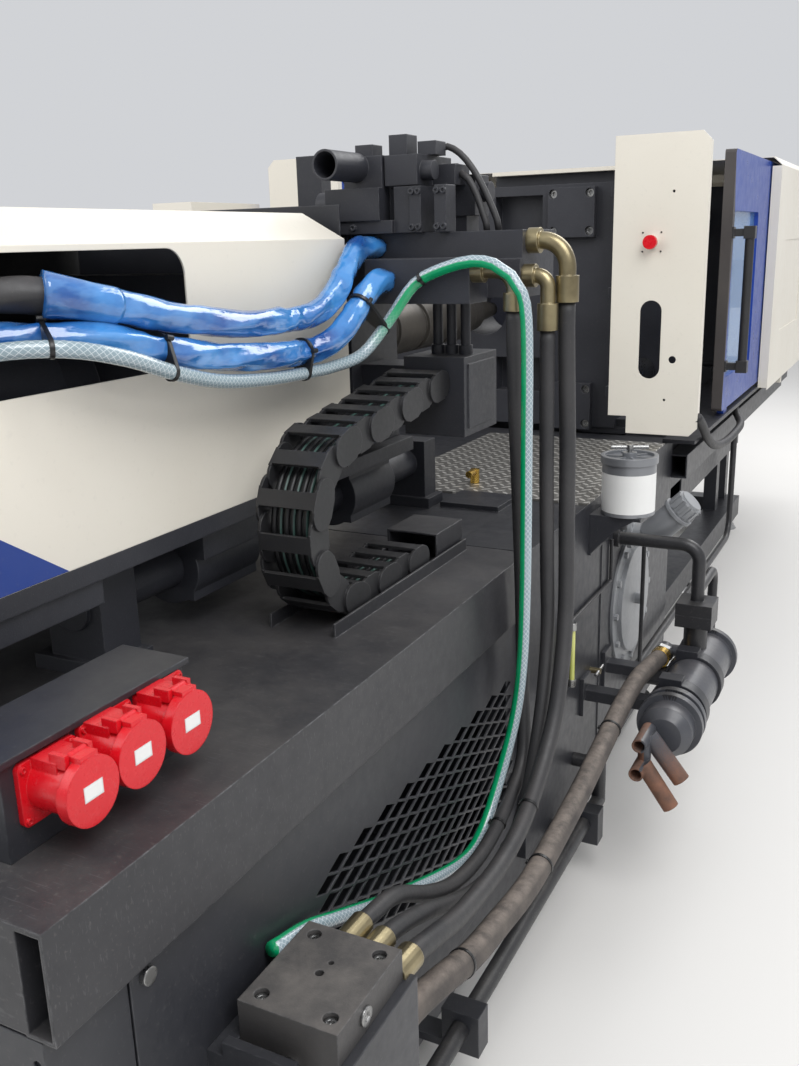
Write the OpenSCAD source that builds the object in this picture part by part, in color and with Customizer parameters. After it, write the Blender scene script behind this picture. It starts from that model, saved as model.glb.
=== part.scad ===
// Horizontal injection moulding machine with a hydraulic clamp.
// Millimetres, +Z up. The injection axis runs along Y, injection end at -Y,
// clamp end at +Y. +X is the rear side with the hoses, -X the operator side.

/* [Bed] */
// length of the bed along the injection axis
bed_length = 5760; // [5720:10:5860]
// width of the bed across the deck
bed_width = 1288; // [1280:2:1300]
// height of the deck above the floor
deck_height = 880; // [870:5:900]
// thickness of the frame tube walls
frame_wall = 8; // [6:1:10]
// thickness of the side panels
panel_sheet = 4; // [3:0.5:4]
// diameter of the levelling feet
foot_d = 130; // [100:5:150]
// slope of the slot rows in the vented panel, degrees
vent_slope = 22; // [20:1:24]

/* [Clamp] */
// height of the injection axis above the deck
axis_rise = 392; // [385:1:400]
// spacing of the tie bars, both ways
tie_pitch = 604; // [600:2:612]
// diameter of the tie bars
tie_d = 100; // [90:2:110]
// radial clearance of the tie bars in the moving platen
slide_fit = 0.06; // [0.04:0.01:0.1]
// thickness of the fixed platen
fixed_platen_t = 250; // [240:5:250]
// thickness of the moving platen
moving_platen_t = 230; // [220:5:240]
// clear distance between the platens as shown
daylight = 700; // [680:10:720]
// diameter of the clamp ram
ram_d = 180; // [160:5:200]
// width of the square tie bar caps
cap_w = 150; // [140:2:156]
// diameter of the ejector rods
ejector_d = 24; // [20:1:28]

/* [Injection] */
// diameter of the screw
screw_d = 60; // [55:1:64]
// radial clearance of the screw in the barrel
screw_fit = 0.1; // [0.08:0.01:0.1]
// outside diameter of the barrel
barrel_d = 130; // [120:2:140]
// diameter of the carriage guide bars
guide_d = 70; // [64:2:76]
// half width of the white injection cover
cover_half = 334; // [330:1:338]
// sheet thickness of the white covers
cover_sheet = 3; // [2:0.5:4]
// diameter of the hydraulic screw motor
motor_d = 240; // [220:5:260]

/* [Guards and doors] */
// thickness of the sliding doors
door_t = 35; // [30:1:38]
// length of each sliding door
door_len = 1260; // [1240:5:1260]
// diameter of the bar handles
handle_d = 30; // [26:1:34]
// diameter of the emergency stop head
estop_d = 40; // [36:1:44]
// height of the guards above the deck
guard_top = 898; // [892:1:904]

/* [Hoses and chain] */
// diameter of the first carriage hose
hose_a_d = 27; // [25:1:28]
// diameter of the second carriage hose
hose_b_d = 28; // [26:1:30]
// diameter of the third carriage hose
hose_c_d = 32; // [30:1:34]
// diameter of the green water hose
water_d = 22; // [20:1:23]
// diameter of the film wrapped hoses
wrap_d = 44; // [40:1:45]
// diameter of the large side hose
side_hose_d = 45; // [42:1:47]
// width of the cable chain
chain_w = 110; // [106:1:112]
// height of a chain link
link_h = 56; // [52:1:58]

/* [Side equipment] */
// diameter of the filter canister
filter_d = 128; // [120:2:132]
// diameter of the oil cooler body
cooler_d = 130; // [124:2:134]
// diameter of the black steel pipes
pipe_d = 34; // [30:1:36]
// diameter of the socket lids
lid_d = 72; // [70:1:74]
// head diameter of the block screws
screw_head = 18; // [16:1:19]

/* [Hidden] */
$fn = 48;

hl = bed_length / 2;
hw = bed_width / 2;
D = deck_height;
AX = D + axis_rise;
fx = hw - 23;
tp = tie_pitch / 2;
plat_y = -207;
plat_back = plat_y + fixed_platen_t;
mov_y = 43 + daylight;
mov_back = mov_y + moving_platen_t;
end_y = 1750;
G = D + guard_top;
tray_end = -1550;
tank_end = -217;
lift = D - 880;
beam_z = D - 190;
rail_end = end_y + 310;
dark = "#2b2d31";
steel = "#9a9ca0";
white = "#e9e8e2";
red = "#c1121c";

module bar(a, b) {
  translate(a) cube([b[0] - a[0], b[1] - a[1], b[2] - a[2]]);
}
module rod_x(x0, x1, y, z, d) {
  translate([x0, y, z]) rotate([0, 90, 0]) cylinder(d = d, h = x1 - x0);
}
module rod_y(x, y0, y1, z, d) {
  translate([x, y0, z]) rotate([-90, 0, 0]) cylinder(d = d, h = y1 - y0);
}
module rod_z(x, y, z0, z1, d) {
  translate([x, y, z0]) cylinder(d = d, h = z1 - z0);
}
// a flat shape drawn in Y and Z, given thickness along X
module slab_x(x0, x1) {
  translate([x0, 0, 0]) rotate([90, 0, 90]) linear_extrude(x1 - x0) children();
}
// a flat shape drawn in X and Z, given thickness along Y
module slab_y(y0, y1) {
  translate([0, y1, 0]) rotate([90, 0, 0]) linear_extrude(y1 - y0) children();
}
module both() {
  children();
  mirror([1, 0, 0]) children();
}
module round_rect(x0, y0, x1, y1, r) {
  translate([x0 + r, y0]) square([x1 - x0 - 2 * r, y1 - y0]);
  translate([x0, y0 + r]) square([x1 - x0, y1 - y0 - 2 * r]);
  for (x = [x0 + r, x1 - r]) for (y = [y0 + r, y1 - r]) translate([x, y]) circle(r);
}
// tube along Y with a rectangular section and open ends
module box_y(x0, x1, y0, y1, z0, z1, t) {
  difference() {
    bar([x0, y0, z0], [x1, y1, z1]);
    bar([x0 + t, y0 - 1, z0 + t], [x1 - t, y1 + 1, z1 - t]);
  }
}
// a quarter pipe bend in the XZ plane, from level at the left to down at the right
module elbow_down(x, y, z, r, d) {
  translate([x, y, z - r]) rotate([90, 0, 0]) rotate_extrude(angle = 90)
    translate([r, 0]) circle(d = d);
}
// hex socket head standing out along a direction
module head(d, h) {
  difference() {
    cylinder(d = d, h = h);
    translate([0, 0, h * 0.5]) cylinder(d = d * 0.5, h = h, $fn = 6);
  }
}

// sweep of a round tube along hand laid route points
function unit(v) = v / norm(v);
function tang(p, i) = unit(p[min(i + 1, len(p) - 1)] - p[max(i - 1, 0)]);
function turn_u(u, t) = unit(u - t * (u * t));
function frames(p, i, u) = i >= len(p) ? [] :
  let (v = turn_u(u, tang(p, i))) concat([v], frames(p, i + 1, v));
module tube(p, d, n = 10) {
  u0 = abs(tang(p, 0)[0]) < 0.8 ? [1, 0, 0] : [0, 1, 0];
  us = frames(p, 0, u0);
  m = len(p);
  pts = [for (i = [0 : m - 1]) let (t = tang(p, i), u = us[i], w = cross(t, u))
    for (k = [0 : n - 1]) p[i] + (u * cos(360 * k / n) + w * sin(360 * k / n)) * d / 2];
  sides = [for (i = [0 : m - 2]) for (k = [0 : n - 1])
    [i * n + k, i * n + (k + 1) % n, (i + 1) * n + (k + 1) % n, (i + 1) * n + k]];
  ends = [[for (k = [n - 1 : -1 : 0]) k], [for (k = [0 : n - 1]) (m - 1) * n + k]];
  polyhedron(pts, [for (f = concat(sides, ends)) [for (j = [len(f) - 1 : -1 : 0]) f[j]]]);
}

// welded base frame
module bed_frame() color(dark) {
  y0 = -hl + panel_sheet;
  both() {
    box_y(fx - 100, fx, y0, tank_end, 60, 160, frame_wall);
    box_y(400, 520, tank_end - 60, rail_end, 60, 160, frame_wall);
    bar([fx - 60, y0, 160], [fx, y0 + 60, 750]);
    bar([fx - 60, tray_end - 60, 160], [fx, tray_end, 750]);
    difference() {
      bar([fx - 60, y0 + 60, 690], [fx, tray_end - 60, 750]);
      bar([fx - 34, -2780, 689], [fx + 1, -2680, 751]);
    }
    bar([hw - 14, -300, D], [728, 2040, D + 12]);
    difference() {
      bar([fx - 121, -213, beam_z], [fx, hl, D - 10]);
      bar([fx - 109, -214, beam_z + 12], [fx - 12, hl + 1, D - 22]);
    }
    box_y(fx - 81, fx, 60, 1240, beam_z - 90, beam_z + 6, 5);
    box_y(631, 691, -213, 2040, D - 128, D - 52, 5);
    for (y = [-190, 700, 1500]) bar([fx - 1, y, D - 120], [632, y + 80, D - 60]);
    bar([fx - 131, -213, D - 10], [hw, hl, D]);
    for (y = [-207, end_y - 50, end_y + 210]) bar([400, y, 159], [460, y + 70, D - 10]);
  }
  for (y = [y0, tray_end - 60]) bar([60 - fx, y, 690], [fx - 60, y + 60, 750]);
  for (y = [y0, tray_end - 40, tank_end - 60])
    bar([99 - fx, y, 60], [fx - 99, y + 100, 160]);
  for (y = [1000, rail_end - 100]) bar([-401, y, 60], [401, y + 100, 160]);
  for (y = [-207, 23]) bar([120 - fx, y, beam_z], [fx - 120, y + 20, D - 10]);
  for (y = [end_y, end_y + 210]) bar([120 - fx, y, beam_z], [fx - 120, y + 20, D - 10]);
  bar([-fx, y0 + 60, 160], [fx, tray_end - 60, 166]);
}

module levelling_feet() color(steel)
  both() for (q = [[fx - 50, -hl + 150], [fx - 50, -1500], [fx - 50, tank_end - 75], [460, 900], [460, rail_end - 80]])
   translate([q[0], q[1], 0]) {
    cylinder(d1 = foot_d, d2 = foot_d * 0.8, h = 22);
    cylinder(d = 52, h = 42, $fn = 6);
    cylinder(d = 30, h = 60);
  }

// folded deck over the injection end, with the rails along both sides
module deck_tray() color(dark) {
  bar([-hw, -hl, D - 6], [hw, tray_end, D]);
  both() difference() {
    bar([hw - 40, -hl, 750], [hw, tray_end, D - 6]);
    bar([hw - 36, -hl - 1, 754], [hw - 4, tray_end + 1, D - 5]);
  }
  bar([40 - hw, -hl, 752], [hw - 40, -hl + 4, D - 6]);
  for (x = [391, 515]) bar([x, -2115, D], [x + 4, -1576, D + 24]);
  difference() {
    bar([400, -1700, D], [510, -1576, D + 65]);
    bar([404, -1704, D + 4], [506, -1580, D + 61]);
  }
  bar([402, -1800, D], [508, -1696, D + 4.7]);
}

module tread_plate() color(steel) bar([70, -1136, D], [hw, -330, D + 5]);

module slot() polygon([[-32.5, 0.9], [1.6, 13.3], [32.5, -0.9], [-1.6, -13.3]]);
module vent_panel() color(dark) slab_x(fx, fx + panel_sheet) difference() {
  translate([-2756, 165]) square([2756 + tray_end, 580]);
  for (r = [-3 : 10]) for (k = [-1 : 20]) {
    cy = -2345 + 76 * r + 42.5 * k * cos(vent_slope);
    cz = 592 - 42.5 * k * sin(vent_slope);
    if (cy > -2350 && cy < -1585 && cz > 322 && cz < 612) translate([cy, cz]) slot();
  }
  translate([-2731, 721]) circle(d = 14);
}

module base_panels() color(dark) {
  t = panel_sheet;
  bar([fx, -hl + t, 165], [fx + t, -2760, 745]);
  bar([-fx - t, -hl + t, 165], [-fx, tray_end, 745]);
  difference() {
    bar([-fx - t, -hl, 165], [fx + t, -hl + t, 748]);
    rod_y(hw - 30, -hl - 1, -hl + t + 1, 718, 12);
  }
}

module panel_lock() color(steel) {
  rod_x(fx - 20, fx + panel_sheet, -2731, 721, 13.9);
  rod_x(fx + panel_sheet, fx + panel_sheet + 8, -2731, 721, 22);
  bar([fx - 26, -2739, 713], [fx - 20, -2700, 729]);
}

module socket_box() color(dark) {
  difference() {
    bar([435, -2808, D], [529, -2510, D + 112]);
    bar([438, -2805, D - 1], [526, -2513, D + 109]);
  }
  bar([428, -2814, D + 112], [536, -2504, D + 120]);
}

flange_y = [-2747, -2657, -2562];
sock_y = [-2749, -2670, -2582];
sock_z = [D + 73, D + 78, D + 77];
module socket_shape(f, y, z) {
  slab_x(529, 536) round_rect(f - 42.5, z - 40, f + 42.5, z + 34, 8);
  difference() {
    union() {
      rod_x(536, 586, y, z, lid_d - 8);
      bar([536, y - 22, z + 20], [572, y + 22, z + 36]);
      for (e = [-1, 1]) bar([562, y + e * 17 - 3.5, z + 30], [584, y + e * 17 + 3.5, z + 46]);
    }
    rod_x(545, 590, y, z, lid_d - 16);
  }
  rod_x(545, 570, y, z, 40);
  for (a = [0 : 72 : 288]) rod_x(570, 580, y + 12 * cos(a), z + 12 * sin(a), 6);
  for (b = [-36, 36]) for (c = [-33, 27]) translate([536, f + b, z + c]) rotate([0, 90, 0])
    head(8, 3);
}
module socket_housings() color(red)
  for (i = [0 : 2]) socket_shape(flange_y[i], sock_y[i], sock_z[i]);

module socket_lid(y, z) {
  rod_x(586.3, 599, y, z, lid_d);
  difference() {
    rod_x(584, 599, y, z, lid_d + 6);
    rod_x(583, 590, y, z, lid_d - 3);
    bar([583, y - 60, z + 18], [585.9, y + 60, z + 60]);
  }
  bar([586.3, y - 13, z + 20], [598, y + 13, z + 43]);
  rod_y(580, y - 13, y + 13, z + 41, 9);
  bar([580, y - 13, z + 37], [590, y + 13, z + 43]);
}
module lid_near() color(red) socket_lid(sock_y[0], sock_z[0]);
module lid_mid() color(red) socket_lid(sock_y[1], sock_z[1]);
module lid_far() color(red) socket_lid(sock_y[2], sock_z[2]);

block_screws = [[672, -2584], [672, -2458], [772, -2584], [772, -2458]];
module outlet_block() color(dark) translate([0, 0, lift]) difference() {
  bar([650, -2606, 410], [794, -2436, 600]);
  for (q = block_screws) {
    rod_z(q[0], q[1], 582, 601, screw_head + 2);
    rod_z(q[0], q[1], 540, 583, 12);
  }
  rod_z(718, -2521, 585, 601, 12);
  rod_z(722, -2498, 590, 601, 8);
}

// all the fixed socket head screws of the base
module cap_screws() color(steel) {
  translate([0, 0, lift]) {
    for (q = block_screws) {
      translate([q[0], q[1], 582]) head(screw_head, 12);
      rod_z(q[0], q[1], 540, 582, 12);
    }
    translate([724, -2606, 525]) rotate([90, 0, 0]) head(34, 4);
    translate([700, -2642, 520]) rotate([90, 0, 0]) head(26, 10);
    translate([794, -2540, 577]) rotate([0, 90, 0]) head(26, 4);
  }
  for (s = [-1, 1]) for (t = [-1, 1]) for (b = [-59, 59]) for (c = [-56, 56])
    translate([s * tp + b, plat_y, AX + t * tp + c]) rotate([90, 0, 0]) head(26, 18);
  for (z = [D + 560, D + 740]) for (y = [-150, -60]) translate([450, y, z])
    rotate([0, 90, 0]) head(30, 16);
}

module outlet_bracket() color(dark) translate([0, 0, lift]) {
  bar([fx + panel_sheet, -2642, 396], [800, -2430, 410]);
  bar([fx + panel_sheet, -2642, 410], [650, -2436, 545]);
  bar([650, -2642, 410], [752, -2628, 565]);
  bar([794, -2615, 396], [808, -2421, 553]);
}

module oil_tank() color(dark) {
  difference() {
    bar([-hw, tray_end + 4, 160], [hw, tank_end, D]);
    bar([6 - hw, tray_end + 10, 166], [hw - 6, tank_end - 6, D - 6]);
    rod_x(hw - 7, hw + 1, -705, 508 + lift, 330);
  }
  bar([318, -1268, D], [468, -1137, D + 12]);
  bar([hw, -1003, 165], [hw + 3, -997, D - 4]);
  bar([hw, -1316, 474 + lift], [hw + 14, -1282, 651 + lift]);
}

module tank_cover() color(steel) translate([0, 0, lift]) {
  rod_x(hw, hw + 8, -705, 508, 390);
  rod_x(hw + 8, hw + 20, -705, 508, 300);
  for (a = [0 : 30 : 330]) translate([hw + 8, -705 + 174 * cos(a), 508 + 174 * sin(a)])
    rotate([0, 90, 0]) cylinder(d = 20, h = 9, $fn = 6);
  rod_x(hw + 20, hw + 42, -705, 508, 30);
}

can_x = hw + 79;
can_y = -1060;
module filter_canister() color(steel) {
  difference() {
    union() {
      rod_z(can_x, can_y, D - 27, D + 112, filter_d);
      rod_z(can_x, can_y, D + 98, D + 116, filter_d + 8);
    }
    rod_z(can_x, can_y, D + 108, D + 117, filter_d - 12);
    rod_z(can_x, can_y, D + 107, D + 120, 12);
  }
  for (a = [0 : 60 : 300]) translate([can_x, can_y, D + 107]) rotate([0, 0, a])
    translate([15, -3, 0]) cube([filter_d / 2 - 18, 6, 5]);
  difference() {
    rod_z(can_x, can_y, D + 107, D + 122, 34);
    rod_z(can_x, can_y, D + 106, D + 123, 12);
  }
}
module filter_bracket() color(dark) {
  bar([hw, can_y - 55, D - 35], [can_x + 45, can_y + 55, D - 27]);
  bar([hw, can_y - 55, D - 130], [hw + 6, can_y + 55, D - 35]);
  for (b = [-55, 49]) slab_y(can_y + b, can_y + b + 6)
    polygon([[hw + 5, D - 126], [can_x - 20, D - 66], [can_x + 30, D - 34], [hw + 5, D - 34]]);
  rod_z(can_x - 12, can_y, D - 70, D - 34, 22);
}
module filter_handle() color(steel) {
  rod_z(can_x, can_y, D + 108.2, D + 132, 11.9);
  translate([can_x, can_y, D + 134]) rotate([0, 0, 20]) {
    rod_x(-44, 44, 0, 0, 10);
    rod_z(0, 0, -6, 6, 17);
  }
}

neck_y = -805;
neck_z = D - 155;
module tilt() translate([hw + 76, neck_y, neck_z]) rotate([0, 45, 0]) children();
module filler_neck() color(steel) difference() {
  union() {
    rod_x(hw, hw + 70, neck_y, neck_z + 2, 60);
    rod_x(hw + 22, hw + 34, neck_y, neck_z + 2, 82);
    tilt() cylinder(d = 76, h = 98);
    tilt() translate([0, 0, 96]) cylinder(d = 88, h = 10);
  }
  tilt() translate([0, 0, 20]) cylinder(d = 52, h = 90);
}
module filler_cap() color(steel) tilt() {
  translate([0, 0, 106.1]) cylinder(d = 72, h = 40);
  for (a = [0 : 30 : 330]) rotate([0, 0, a]) translate([30, -5, 110]) cube([9, 10, 34]);
  translate([0, 0, 146]) cylinder(d = 62, h = 5);
  translate([0, 0, 94]) cylinder(d = 51.8, h = 13);
}

low_z = 142;
cool_x = 880;
cool_z = D - 490;
inlet_x = cool_x - 15;
inlet_z = D - 150;
flange_z = D - 328;
reach = cool_x + cooler_d / 2 + 12;
module oil_cooler() color(dark) {
  rod_y(cool_x, -1222, -745, cool_z, cooler_d);
  for (y = [-1222, -1190, -763]) rod_y(cool_x, y, y + 18, cool_z, cooler_d + 24);
  rod_y(cool_x, -1262, -1221, cool_z, cooler_d - 6);
  translate([cool_x, -1262, cool_z]) rotate([90, 0, 0]) cylinder(d1 = cooler_d - 6, d2 = 84, h = 22);
  rod_z(inlet_x, -870, cool_z + 55, flange_z, 60);
  bar([inlet_x - 46, -915, flange_z - 32], [inlet_x + 46, -825, flange_z]);
  rod_x(790, cool_x - 35, -872, cool_z + 45, 32);
  translate([790, -872, cool_z + 45]) sphere(d = 36);
  rod_y(790, -896, -872, cool_z + 45, 46);
}

module oil_pipes() color(dark) {
  rod_x(hw, inlet_x - 44, -870, inlet_z, pipe_d);
  rod_x(hw, hw + 14, -870, inlet_z, 50);
  elbow_down(inlet_x - 44, -870, inlet_z, 44, pipe_d);
  rod_z(inlet_x, -870, flange_z + 31, inlet_z - 44, pipe_d);
  bar([inlet_x - 46, -915, flange_z], [inlet_x + 46, -825, flange_z + 32]);
  rod_y(inlet_x, -870, -690, flange_z + 54, 26);
  translate([inlet_x, -690, flange_z + 14]) rotate([90, 0, 90]) rotate_extrude(angle = 90)
    translate([40, 0]) circle(d = 26);
  rod_z(inlet_x, -650, 240, flange_z + 14, 26);
  rod_x(hw, inlet_x, -650, 240, 26);
  translate([inlet_x, -650, 240]) sphere(d = 26);
  rod_x(hw, 672, -705, 296, 24);
  translate([672, -705, 296]) sphere(d = 24);
  rod_y(672, -705, 720, 296, 24);
  translate([672, 720, 376]) rotate([-90, 0, 90]) rotate_extrude(angle = 90)
    translate([80, 0]) circle(d = 24);
  rod_z(672, 800, 376, D - 128, 24);
  rod_y(710, -2640, -1200, low_z, pipe_d);
  rod_x(fx, 710, -2640, low_z, pipe_d);
  translate([710, -2640, low_z]) sphere(d = pipe_d);
  rod_z(710, -1200, low_z, 240, pipe_d);
  translate([710, -1200, low_z]) sphere(d = pipe_d);
  rod_x(hw, 710, -1200, 240, pipe_d);
  translate([710, -1200, 240]) sphere(d = pipe_d);
}

// open water connections at the near end of the cooler
module water_stubs() color("#6d4b38") translate([0, 0, lift]) difference() {
  union() {
    rod_y(848, -1378, -1270, 402, 33);
    rod_y(845, -1386, -1316, 335, 33);
    rod_z(850, -1330, 330, 402, 30);
    translate([856, -1318, 404]) rotate([0, 141.5, 0]) cylinder(d = 40, h = 124);
    translate([852, -1348, 346]) rotate([0, 145, 0]) cylinder(d = 38, h = 116);
  }
  rod_y(848, -1379, -1300, 402, 25);
  rod_y(845, -1387, -1340, 335, 25);
  translate([856, -1318, 404]) rotate([0, 141.5, 0]) translate([0, 0, 60]) cylinder(d = 32, h = 66);
  translate([852, -1348, 346]) rotate([0, 145, 0]) translate([0, 0, 60]) cylinder(d = 30, h = 58);
  rod_y(cool_x, -1284, -1200, cool_z - lift, cooler_d + 26);
}

module pipe_clamp(y) {
  difference() {
    bar([674, y - 22, 108], [746, y + 22, 176]);
    rod_y(710, y - 23, y + 23, low_z, pipe_d + 0.2);
  }
  bar([fx, y - 22, 92], [746, y + 22, 108]);
}
module pipe_clamps() color(dark) {
  for (y = [-2043, -1304]) pipe_clamp(y);
  for (y = [-1130, -940]) difference() {
    union() {
      rod_y(cool_x, y - 20, y + 20, cool_z, cooler_d + 16);
      bar([hw, y - 20, cool_z - 10], [cool_x - 60, y + 20, cool_z + 18]);
      bar([hw, y - 30, cool_z - 50], [hw + 10, y + 30, cool_z + 50]);
      bar([cool_x - 44, y - 20, cool_z + 55], [cool_x + 10, y + 20, cool_z + 84]);
    }
    rod_y(cool_x, y - 21, y + 21, cool_z, cooler_d + 0.2);
  }
}

module tie_places() for (s = [-1, 1]) for (t = [-1, 1]) translate([s * tp, 0, AX + t * tp])
  rotate([-90, 0, 0]) children();

module fixed_platen() color(dark) {
  difference() {
    union() {
      bar([-450, plat_y, D + 20], [450, plat_back, D + 780]);
      bar([10, -125, D + 779], [450, -105, D + 816]);
      both() bar([330, plat_y + 10, D], [fx, plat_back - 10, D + 20]);
      both() bar([450, plat_y + 30, D + 20], [fx - 60, plat_back - 30, D + 45]);
    }
    tie_places() translate([0, 0, plat_y - 1]) cylinder(d = tie_d, h = fixed_platen_t + 2);
    rod_y(0, plat_y - 1, plat_back + 1, AX, 160);
    for (a = [-1, 1]) for (z = [D + 130, D + 640])
      bar([a < 0 ? -200 : 40, plat_y - 1, z], [a < 0 ? -40 : 200, plat_y + 60, z + 110]);
    for (x = [-210 : 140 : 210]) for (z = [-210, -70, 70, 210])
      rod_y(x, plat_back - 30, plat_back + 1, AX + z, 16);
  }
}
module tie_bars() color(steel)
  tie_places() translate([0, 0, plat_y]) cylinder(d = tie_d, h = end_y + 300 - plat_y);
module tie_bar_caps() color(dark) {
  w = cap_w / 2;
  for (s = [-1, 1]) for (t = [-1, 1]) translate([s * tp, 0, AX + t * tp]) difference() {
    bar([-w, plat_y - 30, -w], [w, plat_y, w]);
    for (b = [-59, 59]) for (c = [-56, 56]) rod_y(b, plat_y - 31, plat_y + 1, c, 27);
  }
  tie_places() translate([0, 0, end_y + 300]) cylinder(d = tie_d + 60, h = 90);
}

module end_platen() color(dark) {
  difference() {
    union() {
      bar([-430, end_y, D + 20], [430, end_y + 230, D + 830]);
      both() bar([330, end_y + 10, D], [fx, end_y + 220, D + 20]);
      rod_y(0, end_y + 230, 2620, AX, 420);
      tie_places() translate([0, 0, end_y + 230]) cylinder(d = tie_d + 40, h = 70);
    }
    tie_places() translate([0, 0, end_y - 1]) cylinder(d = tie_d, h = 302);
    rod_y(0, end_y - 1, end_y + 120, AX, ram_d + 0.12);
    rod_y(0, end_y + 119, 2580, AX, ram_d + 90);
  }
}

// ram, moving platen and its guide shoes
module moving_platen() color(dark) {
  difference() {
    union() {
      bar([-430, mov_y, D + 14], [430, mov_back, D + 775]);
      rod_y(0, mov_back, 2400, AX, ram_d);
    }
    tie_places() translate([0, 0, mov_y - 1])
      cylinder(d = tie_d + 2 * slide_fit, h = moving_platen_t + 2);
    for (x = [-140, 140]) for (z = [-80, 80])
      rod_y(x, mov_y - 1, mov_back + 1, AX + z, ejector_d + 0.2);
    for (x = [-210 : 140 : 210]) for (z = [-210, 210])
      rod_y(x, mov_y - 1, mov_y + 30, AX + z, 16);
  }
}
module ejector_plate() color(steel) {
  difference() {
    bar([-180, mov_back + 130, AX - 120], [180, mov_back + 160, AX + 120]);
    rod_y(0, mov_back + 129, mov_back + 161, AX, ram_d + 2);
  }
  for (x = [-140, 140]) for (z = [-80, 80])
    rod_y(x, mov_y + 20, mov_back + 130, AX + z, ejector_d);
}

// the white end guard on the rear side, with its posts and the tie across the top
module guard_sheet(y0, y1) slab_y(y0, y1) difference() {
  polygon([[467, D + 85], [524, D + 85], [524, D + 32], [716, D + 32], [740, D + 56],
    [740, G - 24], [716, G], [467, G]]);
  translate([583, D + 600]) circle(d = 22.4);
  translate([588, D + 234]) circle(d = 64);
  translate([556, D + 234]) square([64, 167]);
  translate([588, D + 401]) circle(d = 64);
  translate([641, D + 739]) circle(d = 8);
  translate([638, D + 139]) circle(d = 8);
  translate([657, D + 260]) circle(d = 22);
}
module guard_panel() color(white) {
  both() {
    guard_sheet(-342, -339);
    for (x = [467, 737]) bar([x, -339, D + 85], [x + 3, -317, G - 26]);
    bar([470, -339, G - 4], [716, -317, G - 1]);
    for (z = [D + 140, D + 440, D + 730]) bar([450, -317, z], [480, -190, z + 30]);
    for (z = [D + 140, D + 440, D + 730]) bar([464, -339, z], [480, -317, z + 30]);
  }
  bar([10, -160, D + 816], [450, -120, D + 828]);
  difference() {
    rod_y(583, -349.5, -342, D + 600, 38);
    rod_y(583, -350, -341, D + 600, 24);
  }
}
module estop_button() color(red) {
  rod_y(583, -372, -356, D + 600, estop_d);
  rod_y(583, -356, -325, D + 600, 22.2);
}

// white cover over the clamp end
module clamp_cover() color(white) {
  t = cover_sheet;
  difference() {
    slab_y(942, hl - 10) polygon([[-765, D], [765, D], [765, G - 30], [735, G],
      [-735, G], [-765, G - 30]]);
    slab_y(940, hl - 10 - t) polygon([[t - 765, D - 1], [765 - t, D - 1],
      [765 - t, G - 31], [734 - t, G - t], [t - 734, G - t], [t - 765, G - 31]]);
    bar([-700, hl - 20, D - 1], [700, hl, D + 200]);
    for (x = [-770, 760]) bar([x, 1200, D + 220], [x + 10, 1800, D + 586]);
  }
  both() {
    bar([hw - 10, hl - 60, D], [766 - t, hl - 10 - t, D + 6]);
    bar([729, 942, D + 8], [765 - t, 950, G - 34]);
    bar([hw, 1400, D - 30], [764 - t, 1430, D]);
    bar([hw, 2500, D - 30], [764 - t, 2530, D]);
    bar([759 - t, 1190, D + 210], [765 - t, 1810, D + 596]);
  }
}

// operator cabinet hung on the front end guard
module operator_panel() color(white) {
  difference() {
    bar([-reach, -700, D + 180], [-800, -320, D + 760]);
    bar([-reach - 1, -660, D + 480], [3 - reach, -360, D + 720]);
  }
  bar([3 - reach - 2, -658, D + 482], [3 - reach, -362, D + 718]);
  for (r = [0 : 3]) for (c = [0 : 5])
    bar([3 - reach, -655 + 50 * c, D + 250 + 46 * r], [2 - reach, -620 + 50 * c, D + 280 + 46 * r]);
  for (z = [D + 220, D + 700]) bar([-800, -345, z], [-740, -325, z + 20]);
}

// round guide bars for the carriage, on four machined supports
module guide_bars() color(steel) both() {
  rod_y(230, -2400, -1215, D + 105, guide_d);
  for (q = [[-2393, 79], [-1285, 60]]) difference() {
    union() {
      bar([150, q[0] - 10, D], [300, q[0] + q[1] + 10, D + 24]);
      bar([178, q[0], D + 24], [286, q[0] + q[1], D + 160]);
    }
    rod_y(230, q[0] - 1, q[0] + q[1] + 1, D + 105, guide_d);
  }
}

module pump_motor() color(dark) {
  rod_y(0, -2480, -1990, 420, 300);
  rod_y(0, -2520, -2480, 420, 320);
  rod_y(0, -1990, -1960, 420, 340);
  rod_y(0, -1960, -1800, 420, 190);
  both() bar([90, -2440, 166], [150, -2040, 330]);
  bar([-60, -1900, 166], [60, -1860, 360]);
}

// dusty hose from the cooler to the outlet block
module side_hose() color("#4b4743") translate([0, 0, lift]) tube([
  [790, -896.3, 435], [790, -925, 435], [786, -1020, 446], [780, -1136, 452], [777, -1260, 438],
  [778, -1421, 412], [782, -1604, 390], [784, -1753, 378], [785, -1917, 370], [785, -2075, 390],
  [786, -2190, 412], [782, -2280, 436], [775, -2350, 449], [771.5, -2392, 452],
  [771, -2412, 452], [771, -2435.7, 452]], side_hose_d, 12);

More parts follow.
